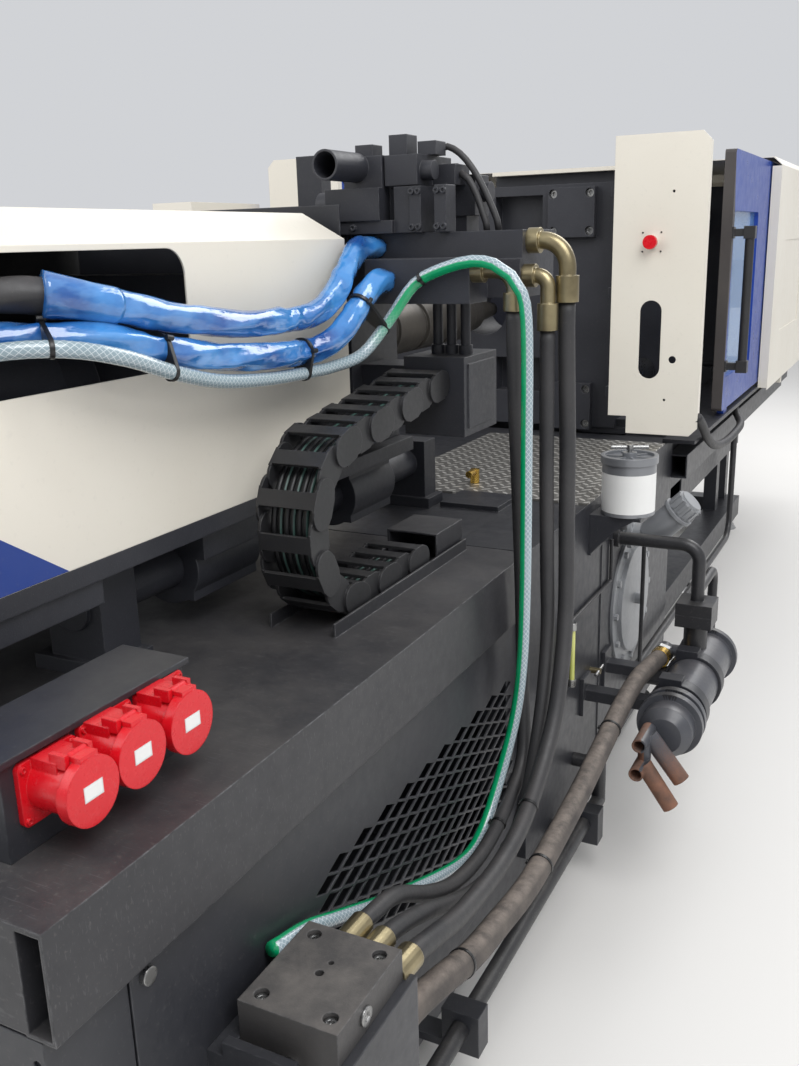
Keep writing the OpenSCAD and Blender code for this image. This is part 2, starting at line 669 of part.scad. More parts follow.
// cable chain: straight on the deck, round the loop, then up to the carriage
chain_x = 455;
loop_r = 137;
link_pitch = 60;
low_run = 240;
arc_run = 3.14159 * loop_r;
function chain_at(s) = s < low_run ? [-1748 - s, D + 33, 180] :
  s < low_run + arc_run ? let (a = 180 * (s - low_run) / arc_run)
    [-1748 - low_run - loop_r * sin(a), D + 33 + loop_r - loop_r * cos(a), 180 - a] :
  let (u = s - low_run - arc_run) [-1748 - low_run + u * 0.99, D + 33 + 2 * loop_r + u * 0.14, 8];
module chain_link(i) {
  q = chain_at(link_pitch * (i + 0.5));
  o = (i % 2) * 5.4;
  w = chain_w / 2;
  translate([chain_x, q[0], q[1]]) rotate([q[2], 0, 0]) for (s = [-1, 1]) {
    translate([s > 0 ? w - 5 - o : -w + o, 0, 0]) rotate([90, 0, 90]) linear_extrude(5) union() {
      translate([-17, 0]) circle(d = link_h - 4);
      translate([17, 0]) circle(d = link_h - 4);
      square([36, link_h], center = true);
    }
    translate([-w + o, -14, s > 0 ? link_h / 2 - 6 : -link_h / 2])
      cube([chain_w - 2 * o, 28, 6]);
  }
}
module drag_chain() color(dark) for (i = [0 : 16]) chain_link(i);

module hose_a() color("#26272a") translate([0, 0, lift]) tube([
  [669, -1700, 1375.7], [669, -1700, 1330], [671, -1695, 1200], [672, -1684, 1080],
  [671, -1668, 960], [669, -1652, 840], [668, -1642, 730], [672, -1648, 620], [689, -1690, 500],
  [691, -1780, 440], [691, -1908, 407], [692, -2040, 424], [694, -2150, 474], [698, -2270, 548],
  [700, -2350, 568], [700, -2400, 574], [700, -2435.7, 574]], hose_a_d);
module hose_b() color("#26272a") translate([0, 0, lift]) tube([
  [702, -1612, 1334.7], [702, -1612, 1290], [703, -1613, 1200], [705, -1614, 1040],
  [708, -1614, 880], [712, -1618, 740], [719, -1668, 600], [721, -1745, 462], [721, -1840, 386],
  [721, -1980, 392], [723, -2110, 440], [728, -2230, 502], [733, -2330, 545], [737, -2390, 563],
  [737, -2414, 566], [737, -2435.7, 566]], hose_b_d);
module hose_c() color("#26272a") translate([0, 0, lift]) tube([
  [731, -1588, 1384.7], [731, -1588, 1340], [733, -1586, 1240], [735, -1581, 1110],
  [738, -1586, 940], [745, -1604, 800], [752, -1644, 690], [755, -1700, 590], [755, -1786, 512],
  [758, -1890, 466], [764, -2020, 460], [772, -2190, 487], [777, -2300, 522], [778, -2360, 541],
  [778, -2400, 550.5], [778, -2418, 552], [778, -2435.7, 552]], hose_c_d);

// clear and green water hose: under the lower wrap, over the manifold, down the side
module water_hose() color("#3fae86") translate([0, 0, lift]) tube([
  [286, -2640, 1366], [350, -2590, 1386], [406, -2525, 1386], [428, -2440, 1366],
  [424, -2351, 1338], [412, -2236, 1311], [404, -2100, 1296], [402, -1960, 1291],
  [404, -1890, 1292], [420, -1812, 1306], [450, -1762, 1362], [494, -1741, 1426],
  [552, -1738, 1453], [606, -1738, 1464], [646, -1738, 1458], [678, -1738, 1438],
  [698, -1737, 1408], [706, -1737, 1366], [708, -1736, 1280], [708, -1736, 1160],
  [708, -1736, 1000], [706, -1733, 860], [699, -1726, 720], [684, -1722, 600],
  [668, -1760, 486], [661, -1840, 402], [660, -1950, 398], [652, -2180, 476], [646, -2350, 548],
  [638.7, -2430, 580], [638.7, -2510, 602]], water_d);

// sliding guard door on the rear side
door_y = 150;
module door_shell(y0, win) {
  x1 = 725;
  x0 = x1 - door_t;
  difference() {
    slab_x(x0, x1) round_rect(y0, D + 32, y0 + door_len, G - 18, 12);
    slab_x(x0 - 1, x1 + 1) round_rect(y0 + 36, D + 143, y0 + 542, D + 690, 14);
    if (win > 1) slab_x(x0 - 1, x1 + 1)
      round_rect(y0 + 640, D + 143, y0 + door_len - 60, D + 690, 14);
  }
  for (y = [y0 + 80, y0 + door_len - 140]) bar([x0 + 6, y, D + 12.3], [x1 - 6, y + 60, D + 33]);
}
module rear_door() color("#17479c") door_shell(door_y, 1);
module rear_door_window() color("#9fb4c6")
  slab_x(725 - door_t / 2 - 3, 725 - door_t / 2 + 3)
    round_rect(door_y + 36, D + 143, door_y + 542, D + 690, 14);
module door_handle(y) {
  rod_z(780, y, D + 165, D + 640, handle_d);
  for (z = [D + 165, D + 600]) {
    bar([762, y - 18, z], [798, y + 18, z + 40]);
    bar([725, y - 12, z + 8], [762, y + 12, z + 32]);
    bar([725, y - 17, z + 2], [731, y + 17, z + 38]);
  }
}
module rear_door_handle() color(dark) door_handle(door_y + 18);
front_y = -304;
module front_door() color("#17479c") {
  mirror([1, 0, 0]) door_shell(front_y, 2);
  xm = door_t / 2 - 725;
  slab_x(xm - 3, xm + 3) round_rect(front_y + 36, D + 143, front_y + 542, D + 690, 14);
  slab_x(xm - 3, xm + 3)
    round_rect(front_y + 640, D + 143, front_y + door_len - 60, D + 690, 14);
  mirror([1, 0, 0]) door_handle(front_y + 18);
}

// carriage: base on four sleeves
module carriage_base() color(dark) {
  both() {
    for (y = [-2172, -1640]) difference() {
      union() {
        bar([178, y, D + 50], [282, y + 181, D + 175]);
        rod_y(230, y, y + 181, D + 105, 130);
      }
      rod_y(230, y - 1, y + 182, D + 105, guide_d + 0.12);
    }
    bar([170, -2740, D + 175], [cover_half, -1440, D + 205]);
    bar([282, -2172, D + 125], [310, -1991, D + 175]);
    bar([292, -2740, D + 138], [328, -2425, D + 175]);
  }
  for (y = [-2740, -2140, -1640]) bar([-170, y, D + 175], [170, y + 100, D + 205]);
}

cover_y0 = -2820;
cover_z0 = D + 205;
module cover_shape(g) polygon([[-cover_half + g, cover_z0 - (g > 0 ? 1 : 0)],
  [cover_half - g, cover_z0 - (g > 0 ? 1 : 0)], [cover_half - g, D + 628 - g * 0.4],
  [290 - g, D + 675 - g], [g - 290, D + 675 - g], [g - cover_half, D + 628 - g * 0.4]]);
module injection_cover() color(white) difference() {
  slab_y(cover_y0, -1712) cover_shape(0);
  slab_y(cover_y0 + cover_sheet, -1700) cover_shape(cover_sheet);
  slab_x(-400, 400) polygon([[-1711, D + 628], [-1788, D + 676], [-1600, D + 700],
    [-1600, D + 628]]);
  slab_x(300, 340) union() {
    translate([cover_y0 + 40, D + 446]) square([-2193 - cover_y0 - 80, 174]);
    translate([cover_y0 + 40, D + 486]) square([-2193 - cover_y0 - 40, 94]);
    translate([-2233, D + 486]) circle(40);
    translate([-2233, D + 580]) circle(40);
  }
}
module cover_trim() color("#123a86") both() slab_x(cover_half, cover_half + 1)
  polygon([[-2491, D + 206], [cover_y0, D + 206], [cover_y0, D + 430]]);

module front_housing() color(dark) {
  difference() {
    union() {
      bar([-300, -1640, cover_z0], [300, -1440, D + 509]);
      bar([-300, -1637, D + 509], [300, -1450, D + 620]);
      bar([300, -1637, D + 515], [657, -1450, D + 585]);
      bar([300, -1625, D + 585], [657, -1450, D + 636]);
      bar([-300, -1637, D + 620], [300, -1450, D + 636]);
      bar([380, -1720, D + 509], [592, -1637, D + 590]);
      for (x = [-240, 240]) rod_y(x, -2620, -1640, AX, 50);
    }
    rod_y(0, -1641, -1439, AX, screw_d + 12);
    rod_y(0, -1460, -1439, AX, barrel_d);
  }
}

// valve blocks, solenoids and the open return pipe on the manifold beam
module valve_bolt(x, y, z) translate([x, y, z]) rotate([90, 0, 0]) head(12, 5);
module valve_stack() color(dark) {
  z = D + 636;
  slab_y(-1650, -1470) polygon([[248, z], [404, z], [404, z + 24], [232, z + 24]]);
  bar([262, -1655, z + 24], [380, -1500, z + 84]);
  rod_x(222, 262, -1600, z + 54, 56);
  for (x = [284, 322, 358]) rod_z(x, -1640, z + 24, z + 76, 24);
  for (x = [276, 320]) valve_bolt(x, -1650, z + 12);
  bar([297, -1640, z + 84], [380, -1480, z + 142]);
  bar([384, -1636, z + 86], [452, -1480, z + 141]);
  bar([384, -1620, z + 84], [452, -1490, z + 86]);
  bar([404, -1640, z], [462, -1500, z + 84]);
  bar([490, -1640, z], [514, -1600, z + 84]);
  for (x = [438, 490]) {
    bar([x, -1644, z], [x + 24, -1640, z + 84]);
    for (b = [x + 5, x + 19]) for (c = [z + 10, z + 74]) valve_bolt(b, -1644, c);
  }
  bar([380, -1610, z + 24], [404, -1520, z + 84]);
  difference() {
    rod_y(325, -1758, -1640, z + 122, 54);
    rod_y(325, -1759, -1650, z + 122, 46);
  }
  bar([376, -1600, z + 141], [414, -1555, z + 180]);
  bar([432, -1590, z + 141], [470, -1545, z + 166]);
  bar([313, -1620, z + 142], [351, -1580, z + 164]);
  rod_x(452, 476, -1608, z + 112, 36);
  rod_x(452, 484, -1520, z + 110, 36);
  bar([452, -1570, z + 86], [500, -1500, z + 124]);
  bar([462, -1520, z + 30], [520, -1450, z + 106]);
  bar([470, -1515, z], [500, -1455, z + 30]);
  rod_x(520, 540, -1485, z + 74, 38);
  for (y = [-1585, -1530]) rod_x(270, 297, y, z + 112, 34);
  rod_y(120, -1440, -700, z + 144, 26);
  rod_y(120, -780, -740, z + 144, 44);
  bar([90, -1480, z], [150, -1440, z + 164]);
  for (x = [-240 : 90 : -60]) {
    bar([x, -1620, z], [x + 70, -1480, z + 46]);
    rod_y(x + 35, -1640, -1620, z + 26, 36);
  }
}

module junction_box() color(dark) {
  bar([410, -1627, D + 247], [540, -1460, D + 402]);
  bar([300, -1600, D + 260], [410, -1500, D + 380]);
  bar([540, -1610, D + 262], [543, -1477, D + 388]);
  for (i = [0 : 2]) {
    rod_z(455 + 30 * i, -1560, D + 402, D + 420, 28);
    rod_z(455 + 30 * i, -1560, D + 420, D + 515, 20);
  }
}

module barrel() color(steel) difference() {
  union() {
    rod_y(0, -1460, -430, AX, barrel_d);
    rod_y(0, -1440, -1400, AX, 260);
    for (y = [-1330 : 180 : -600]) rod_y(0, y, y + 150, AX, barrel_d + 20);
    rod_y(0, -430, -340, AX, 110);
    translate([0, -340, AX]) rotate([-90, 0, 0]) cylinder(d1 = 80, d2 = 46, h = 190);
  }
  rod_y(0, -1461, -470, AX, screw_d + 2 * screw_fit);
  translate([0, -471, AX]) rotate([-90, 0, 0]) cylinder(d1 = screw_d, d2 = 10, h = 60);
  rod_y(0, -420, -100, AX, 8);
}

module elbow_set(x0, x, y, z, r, zf, zt, d) {
  rod_x(x0, x0 + 22, y, z, d + 14);
  rod_x(x0 + 21, x - r, y, z, d);
  elbow_down(x - r, y, z, r, d);
  rod_z(x, y, zt - 1, z - r, d);
  rod_z(x, y, zf, zt, d + 11);
}
module hose_elbows() color("#a79b7c") {
  elbow_set(592, 669, -1700, D + 566, 34, D + 496, D + 528, hose_a_d);
  elbow_set(657, 702, -1612, D + 554, 22, D + 455, D + 504, hose_b_d);
  elbow_set(657, 731, -1588, D + 616, 50, D + 505, D + 553, hose_c_d);
}

module wrapped_hose_upper() color("#2d6fc4") translate([0, 0, lift]) tube([
  [250, -2600, 1440], [330, -2520, 1450], [380, -2430, 1434], [390, -2290, 1406],
  [390, -2144, 1386], [390, -1995, 1381], [390, -1915, 1388], [385, -1845, 1413],
  [377, -1790, 1449], [368, -1742, 1477], [359, -1704, 1489.5], [356, -1668, 1490.5],
  [356, -1625.3, 1490.5]], wrap_d, 12);
module wrapped_hose_lower() color("#2d6fc4") translate([0, 0, lift]) tube([
  [250, -2620, 1388], [330, -2530, 1396], [384, -2440, 1388], [398, -2343, 1366],
  [398, -2227, 1346], [398, -2090, 1331], [399, -1950, 1327], [404, -1884, 1339],
  [411, -1840, 1365], [417, -1806, 1395], [421, -1778, 1419], [422, -1750, 1431],
  [422, -1720.3, 1431]], wrap_d, 12);

// drive plate on the injection rods, with the hydraulic motor behind it
module drive_plate() color(dark) difference() {
  union() {
    bar([-300, -2150, D + 220], [300, -2070, D + 580]);
    rod_y(0, -2240, -2150, AX, motor_d - 30);
    rod_y(0, -2440, -2240, AX, motor_d);
    rod_y(0, -2070, -2040, AX, 180);
  }
  for (x = [-240, 240]) rod_y(x, -2151, -2069, AX, 50.12);
  rod_y(0, -2100, -2039, AX, screw_d + 0.12);
}
module screw() color(steel) {
  rod_y(0, -2100, -1600, AX, screw_d);
  rod_y(0, -1600, -470.5, AX, screw_d - 14);
  for (y = [-1560 : 90 : -520]) rod_y(0, y, y + 12, AX, screw_d);
  translate([0, -470.5, AX]) rotate([-90, 0, 0])
    cylinder(d1 = screw_d - 14, d2 = 12, h = 42);
}

bed_frame();
levelling_feet();
deck_tray();
tread_plate();
vent_panel();
base_panels();
panel_lock();
socket_box();
socket_housings();
lid_near();
lid_mid();
lid_far();
cap_screws();
outlet_block();
outlet_bracket();
oil_tank();
tank_cover();
filter_canister();
filter_bracket();
filter_handle();
filler_neck();
filler_cap();
oil_cooler();
oil_pipes();
water_stubs();
pipe_clamps();
fixed_platen();
tie_bars();
tie_bar_caps();
end_platen();
guard_panel();
estop_button();
clamp_cover();
operator_panel();
guide_bars();
pump_motor();
side_hose();
drag_chain();
hose_a();
hose_b();
hose_c();
water_hose();
rear_door();
rear_door_window();
rear_door_handle();
front_door();
moving_platen();
ejector_plate();
carriage_base();
injection_cover();
cover_trim();
front_housing();
valve_stack();
junction_box();
barrel();
hose_elbows();
wrapped_hose_upper();
wrapped_hose_lower();
drive_plate();
screw();
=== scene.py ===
import math
import random
import bpy
from mathutils import Matrix, Vector


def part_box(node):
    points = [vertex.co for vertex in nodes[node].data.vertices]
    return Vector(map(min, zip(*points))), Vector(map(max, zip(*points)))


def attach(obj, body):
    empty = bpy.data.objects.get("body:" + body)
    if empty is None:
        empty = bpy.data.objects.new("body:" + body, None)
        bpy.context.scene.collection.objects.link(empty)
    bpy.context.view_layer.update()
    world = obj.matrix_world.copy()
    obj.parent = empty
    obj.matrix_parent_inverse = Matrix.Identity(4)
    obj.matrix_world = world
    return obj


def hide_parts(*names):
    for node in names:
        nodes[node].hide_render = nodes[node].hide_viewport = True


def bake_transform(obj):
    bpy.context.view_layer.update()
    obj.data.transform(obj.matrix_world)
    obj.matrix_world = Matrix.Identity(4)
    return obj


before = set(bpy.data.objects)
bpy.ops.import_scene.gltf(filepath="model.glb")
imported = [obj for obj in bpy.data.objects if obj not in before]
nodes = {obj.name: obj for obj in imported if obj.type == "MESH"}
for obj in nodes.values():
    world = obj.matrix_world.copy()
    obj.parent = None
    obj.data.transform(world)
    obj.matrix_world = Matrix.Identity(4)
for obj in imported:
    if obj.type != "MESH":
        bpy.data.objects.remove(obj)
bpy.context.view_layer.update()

DECK = 0.88    # height of the deck, in metres like every other size that isn't passed through mm()


# Shader nodes

def lin(r, g, b):
    """A screen colour, 0 to 255, as the linear values that shaders take."""
    def one(v):
        v = v / 255.0
        return v / 12.92 if v <= 0.04045 else ((v + 0.055) / 1.055) ** 2.4
    return (one(r), one(g), one(b), 1.0)


def new_mat(name):
    """A new material, its node tree and its surface shader."""
    mat = bpy.data.materials.new(name)
    mat.use_nodes = True
    tree = mat.node_tree
    tree.nodes.clear()
    out = tree.nodes.new("ShaderNodeOutputMaterial")
    shader = tree.nodes.new("ShaderNodeBsdfPrincipled")
    tree.links.new(shader.outputs[0], out.inputs[0])
    return mat, tree, shader


def coords(tree):
    return tree.nodes.new("ShaderNodeTexCoord").outputs["Object"]


def mapping(tree, vec, **inputs):
    """Texture coordinates moved, turned or scaled by the inputs' names and values."""
    n = tree.nodes.new("ShaderNodeMapping")
    for name, value in inputs.items():
        n.inputs[name].default_value = value
    tree.links.new(vec, n.inputs["Vector"])
    return n.outputs[0]


def split(tree, vec):
    """The x, y and z of a vector."""
    n = tree.nodes.new("ShaderNodeSeparateXYZ")
    tree.links.new(vec, n.inputs[0])
    return n.outputs


def noise(tree, vec, scale, detail=4.0, rough=0.55, stretch=None):
    if stretch:
        vec = mapping(tree, vec, Scale=stretch)
    n = tree.nodes.new("ShaderNodeTexNoise")
    n.inputs["Scale"].default_value = scale
    n.inputs["Detail"].default_value = detail
    n.inputs["Roughness"].default_value = rough
    tree.links.new(vec, n.inputs["Vector"])
    return n.outputs[0]


def ramp(tree, value, stops):
    """A colour ramp node; each stop is a place and a colour."""
    r = tree.nodes.new("ShaderNodeValToRGB")
    e = r.color_ramp.elements
    while len(e) < len(stops):
        e.new(0.5)
    for s, (place, colour) in zip(e, stops):
        s.position = place
        s.color = colour
    tree.links.new(value, r.inputs[0])
    return r


def step(tree, value, low, high, before=0.0, after=1.0):
    """One grey below low and another above high, with a slope between."""
    greys = [(v, v, v, 1.0) for v in (before, after)]
    return ramp(tree, value, list(zip((low, high), greys))).outputs[0]


def mix(tree, fac, a, b):
    n = tree.nodes.new("ShaderNodeMix")
    n.data_type = "RGBA"
    for sock, v in ((n.inputs[0], fac), (n.inputs[6], a), (n.inputs[7], b)):
        if isinstance(v, (int, float, tuple)):
            sock.default_value = v
        else:
            tree.links.new(v, sock)
    return n.outputs[2]


def calc(tree, op, a, b=0.0, clamp=False):
    n = tree.nodes.new("ShaderNodeMath")
    n.operation = op
    n.use_clamp = clamp
    for sock, v in ((n.inputs[0], a), (n.inputs[1], b)):
        if isinstance(v, (int, float)):
            sock.default_value = v
        else:
            tree.links.new(v, sock)
    return n.outputs[0]


def vector(tree, op, a, b=None):
    """Vector arithmetic; b is a tuple, another vector or nothing."""
    n = tree.nodes.new("ShaderNodeVectorMath")
    n.operation = op
    tree.links.new(a, n.inputs[0])
    if isinstance(b, tuple):
        n.inputs[1].default_value = b
    elif b is not None:
        tree.links.new(b, n.inputs[1])
    return n.outputs["Value" if op in ("DOT_PRODUCT", "LENGTH") else "Vector"]


def bump(tree, height, strength, distance, normal=None):
    n = tree.nodes.new("ShaderNodeBump")
    n.inputs["Strength"].default_value = strength
    n.inputs["Distance"].default_value = distance
    tree.links.new(height, n.inputs["Height"])
    if normal is not None:
        tree.links.new(normal, n.inputs["Normal"])
    return n.outputs[0]


def edges(tree, radius):
    """A mask of the edges, and the normal that rounds them."""
    bevel = tree.nodes.new("ShaderNodeBevel")
    bevel.samples = 4
    bevel.inputs["Radius"].default_value = radius
    face = tree.nodes.new("ShaderNodeNewGeometry").outputs["Normal"]
    alike = vector(tree, "DOT_PRODUCT", bevel.outputs[0], face)
    return step(tree, alike, 0.90, 0.995, 1.0, 0.0), bevel.outputs[0]


def upward(tree):
    """A mask of the faces that look up."""
    normal = tree.nodes.new("ShaderNodeNewGeometry").outputs["Normal"]
    return step(tree, split(tree, normal)[2], 0.55, 0.9)


# Materials

def coat(name, base, alt, rough=0.45, metal=0.0, dust=0.0, dust_col=(150, 146, 140), grain=0.0,
         scale=3.0, edge=0.0, edge_col=(120, 120, 122), radius=0.003, spec=0.5, scratch=0.0):
    """Paint, plastic or metal: two tones, uneven gloss, dust on top, rubbed edges."""
    mat, tree, shader = new_mat(name)
    co = coords(tree)
    big = noise(tree, co, scale, 5)
    fine = noise(tree, co, scale * 14, 3)
    col = mix(tree, step(tree, big, 0.35, 0.68), lin(*base), lin(*alt))
    speck = step(tree, noise(tree, co, scale * 60, 2), 0.62, 0.74)
    col = mix(tree, calc(tree, "MULTIPLY", speck, 0.18 if dust else 0.05), col, lin(*dust_col))
    rubbed, normal = edges(tree, radius)
    if edge:
        worn = calc(tree, "MULTIPLY", rubbed, step(tree, fine, 0.4, 0.6))
        col = mix(tree, calc(tree, "MULTIPLY", worn, edge), col, lin(*edge_col))
    if dust:
        patch = step(tree, noise(tree, co, scale * 2.2, 6, 0.7), 0.38, 0.72, before=0.15)
        settled = calc(tree, "MULTIPLY", calc(tree, "MULTIPLY", upward(tree), patch), dust)
        col = mix(tree, settled, col, lin(*dust_col))
    if scratch:
        lines = step(tree, noise(tree, co, 30, 2, 0.4, (1, 14, 3)), 0.66, 0.7)
        col = mix(tree, calc(tree, "MULTIPLY", lines, scratch), col, lin(*edge_col))
    tree.links.new(col, shader.inputs["Base Color"])
    uneven = calc(tree, "MULTIPLY", calc(tree, "SUBTRACT", fine, 0.5), 0.25)
    tree.links.new(calc(tree, "ADD", uneven, rough, clamp=True), shader.inputs["Roughness"])
    shader.inputs["Metallic"].default_value = metal
    shader.inputs["Specular IOR Level"].default_value = spec
    if grain:
        normal = bump(tree, noise(tree, co, 420, 2), grain, 0.0006, normal)
    tree.links.new(normal, shader.inputs["Normal"])
    return mat


def tread_material():
    """Bright plate with raised diamonds set in alternating directions."""
    mat, tree, shader = new_mat("tread_plate_metal")
    co = coords(tree)
    per_metre = 25.0
    squeeze = (2.6, 8.5, 0.0)    # makes a round spot of each cell a long narrow one
    height = None
    for turn, shift in ((0.785, 0.0), (-0.785, 0.5)):
        cells = mapping(tree, co, Scale=(per_metre, per_metre, 1.0), Location=(shift, shift, 0))
        place = vector(tree, "SUBTRACT", vector(tree, "FRACTION", cells), (0.5, 0.5, 0.0))
        turned = mapping(tree, place, Rotation=(0, 0, turn))
        away = vector(tree, "LENGTH", vector(tree, "MULTIPLY", turned, squeeze))
        spots = step(tree, away, 0.75, 1.0, 1.0, 0.0)
        height = spots if height is None else calc(tree, "MAXIMUM", height, spots)
    col = mix(tree, height, lin(132, 130, 126), lin(226, 224, 218))
    col = mix(tree, calc(tree, "MULTIPLY", noise(tree, co, 9, 4), 0.35), col, lin(96, 92, 88))
    tree.links.new(col, shader.inputs["Base Color"])
    shader.inputs["Metallic"].default_value = 0.6
    shader.inputs["Roughness"].default_value = 0.42
    tree.links.new(bump(tree, height, 0.8, 0.0015), shader.inputs["Normal"])
    return mat


def film_material():
    """Thin crumpled blue film: patches of painted shade and light, and painted highlights on creases."""
    mat, tree, shader = new_mat("blue_film")
    co = coords(tree)
    clouds = noise(tree, co, 8, 4, 0.5)
    creases = noise(tree, co, 40, 3, 0.5, (1.0, 0.3, 1.0))
    # the darker and the lighter blue are the film in shade and in light: painted shade and light, spread
    # by noise
    col = mix(tree, step(tree, clouds, 0.38, 0.64), lin(18, 76, 150), lin(66, 138, 206))
    # painted highlight along the creases
    crease_highlight = calc(tree, "MULTIPLY", step(tree, creases, 0.5, 0.6), 0.22)
    tree.links.new(mix(tree, crease_highlight, col, lin(128, 178, 228)), shader.inputs["Base Color"])
    shader.inputs["Roughness"].default_value = 0.13
    shader.inputs["Specular IOR Level"].default_value = 0.9
    shader.inputs["Coat Weight"].default_value = 0.5
    shader.inputs["Coat Roughness"].default_value = 0.06
    height = calc(tree, "ADD", calc(tree, "MULTIPLY", creases, 0.6), calc(tree, "MULTIPLY", clouds, 1.6))
    tree.links.new(bump(tree, height, 0.5, 0.008), shader.inputs["Normal"])
    return mat


def water_material():
    """Clear hose with a white net and a green stripe; all clear where it hangs under the wraps."""
    mat, tree, shader = new_mat("water_hose_plastic")
    sep = split(tree, tree.nodes.new("ShaderNodeUVMap").outputs[0])
    around, along = sep[0], sep[1]
    strands, turns = 8.0, 300.0    # threads round the hose, and their turns on its whole length

    def threads(op):
        """One set of threads, wound left or right."""
        across, down = calc(tree, "MULTIPLY", around, strands), calc(tree, "MULTIPLY", along, turns)
        return calc(tree, "SINE", calc(tree, "MULTIPLY", calc(tree, op, across, down), 6.2832))

    net = step(tree, calc(tree, "MAXIMUM", threads("ADD"), threads("SUBTRACT")), 0.86, 0.98)
    from_seam = calc(tree, "SUBTRACT", calc(tree, "FRACT", calc(tree, "ADD", around, 0.5)), 0.5)
    stripe = step(tree, calc(tree, "ABSOLUTE", from_seam), 0.125, 0.15, 1.0, 0.0)
    past_wraps = step(tree, along, 0.30, 0.33)
    green = mix(tree, noise(tree, coords(tree), 26, 3), lin(0, 140, 88), lin(14, 168, 110))
    clear = mix(tree, calc(tree, "MULTIPLY", net, 0.8), lin(138, 156, 164), lin(206, 216, 220))
    col = mix(tree, calc(tree, "MULTIPLY", stripe, past_wraps), clear, green)
    tree.links.new(col, shader.inputs["Base Color"])
    shader.inputs["Roughness"].default_value = 0.16
    shader.inputs["Coat Weight"].default_value = 0.6
    tree.links.new(bump(tree, net, 0.15, 0.0006), shader.inputs["Normal"])
    return mat


def wire_material():
    """Dark cable colours that change across the chain."""
    mat, tree, shader = new_mat("chain_cables")
    across = calc(tree, "FRACT", calc(tree, "MULTIPLY", split(tree, coords(tree))[0], 41.0))
    stops = [(0.0, lin(26, 26, 28)), (0.42, lin(70, 74, 76)), (0.52, lin(24, 24, 26)),
             (0.74, lin(58, 84, 78)), (0.84, lin(30, 30, 32))]
    colours = ramp(tree, across, stops)
    colours.color_ramp.interpolation = "CONSTANT"
    tree.links.new(colours.outputs[0], shader.inputs["Base Color"])
    shader.inputs["Roughness"].default_value = 0.4
    return mat


def glass_material(name, tint, alpha):
    """Tinted see-through plastic, a little uneven."""
    mat, tree, shader = new_mat(name)
    lighter = [min(255, int(v * 1.15)) for v in tint]
    col = mix(tree, noise(tree, coords(tree), 3, 3), lin(*tint), lin(*lighter))
    tree.links.new(col, shader.inputs["Base Color"])
    shader.inputs["Roughness"].default_value = 0.06
    shader.inputs["Alpha"].default_value = alpha
    shader.inputs["Specular IOR Level"].default_value = 0.8
    return mat


looks = {}
looks["sheet"] = coat("black_sheet", (38, 39, 44), (47, 48, 53), 0.4, dust=0.16, edge=0.5, grain=0.05,
                      dust_col=(104, 102, 100), edge_col=(98, 99, 103))
looks["deck"] = coat("deck_sheet", (40, 40, 44), (50, 50, 53), 0.44, dust=0.28, edge=0.6, grain=0.08,
                     dust_col=(116, 112, 108), edge_col=(130, 130, 132), scratch=0.12)
looks["cast"] = coat("black_casting", (38, 39, 45), (47, 48, 54), 0.5, dust=0.2, edge=0.4, grain=0.4,
                     scale=6, dust_col=(108, 106, 105), edge_col=(104, 104, 107))
looks["block"] = coat("hose_block", (60, 59, 60), (74, 72, 71), 0.5, dust=0.45, edge=0.5, grain=0.3,
                      scale=8, dust_col=(134, 128, 122))
looks["pipe"] = coat("black_pipe", (36, 36, 39), (48, 48, 50), 0.38, dust=0.2, edge=0.3, scale=5)
looks["white"] = coat("white_paint", (229, 224, 212), (222, 216, 203), 0.38, scale=1.5,
                      dust=0.12, dust_col=(205, 200, 190), radius=0.002)
looks["blue"] = coat("blue_paint", (24, 62, 150), (29, 70, 160), 0.32, scale=2, radius=0.002)
looks["trim"] = coat("cover_blue", (16, 52, 128), (20, 58, 138), 0.35, scale=2, radius=0.001)
looks["red"] = coat("red_plastic", (205, 14, 28), (216, 22, 36), 0.28, scale=5, dust=0.1,
                    dust_col=(200, 120, 120), radius=0.002)
looks["steel"] = coat("bright_steel", (172, 172, 170), (150, 150, 150), 0.3, metal=1.0, scale=8)
looks["zinc"] = coat("zinc_fittings", (160, 148, 116), (120, 110, 86), 0.34, metal=0.9, scale=14,
                     edge=0.3, edge_col=(210, 204, 180))
looks["gold"] = coat("passivated_pipe", (200, 160, 70), (180, 142, 60), 0.3, metal=0.9, scale=9)
looks["silver"] = coat("silver_paint", (158, 160, 162), (142, 144, 148), 0.4, metal=0.35, scale=6,
                       dust=0.2, edge=0.2)
looks["canister"] = coat("grey_canister", (140, 142, 146), (124, 126, 130), 0.34, metal=0.4, scale=5)
looks["copper"] = coat("tarnished_copper", (132, 92, 72), (84, 66, 58), 0.66, metal=0.15, scale=22,
                       dust=0.25, edge=0.4, edge_col=(150, 112, 92))
looks["rubber"] = coat("hose_rubber", (44, 44, 46), (56, 55, 56), 0.52, dust=0.2, scale=7,
                       dust_col=(120, 112, 108), grain=0.3)
looks["dusty"] = coat("dusty_hose", (92, 85, 80), (62, 58, 56), 0.75, dust=0.75, scale=16,
                      dust_col=(150, 138, 128), grain=0.5)
looks["plastic"] = coat("chain_plastic", (34, 34, 36), (42, 42, 44), 0.42, dust=0.22, scale=8,
                        dust_col=(96, 94, 92), edge=0.3, radius=0.002)
# painted shade: near black for the cover's inner walls, which lie in shade
looks["dark"] = coat("dark_inside", (14, 14, 15), (20, 20, 21), 0.7, scale=3)
looks["label"] = coat("bare_label", (232, 232, 230), (224, 224, 222), 0.35, scale=5)
looks["cooler"] = coat("cooler_paint", (66, 68, 74), (78, 79, 84), 0.34, dust=0.3, edge=0.35, scale=7,
                       dust_col=(128, 122, 118), edge_col=(120, 118, 116))
looks["heat"] = coat("barrel_bands", (96, 92, 86), (78, 75, 72), 0.42, metal=0.7, scale=5, edge=0.3)
looks["brass"] = coat("brass_nut", (214, 178, 92), (190, 154, 74), 0.26, metal=0.95, scale=14)
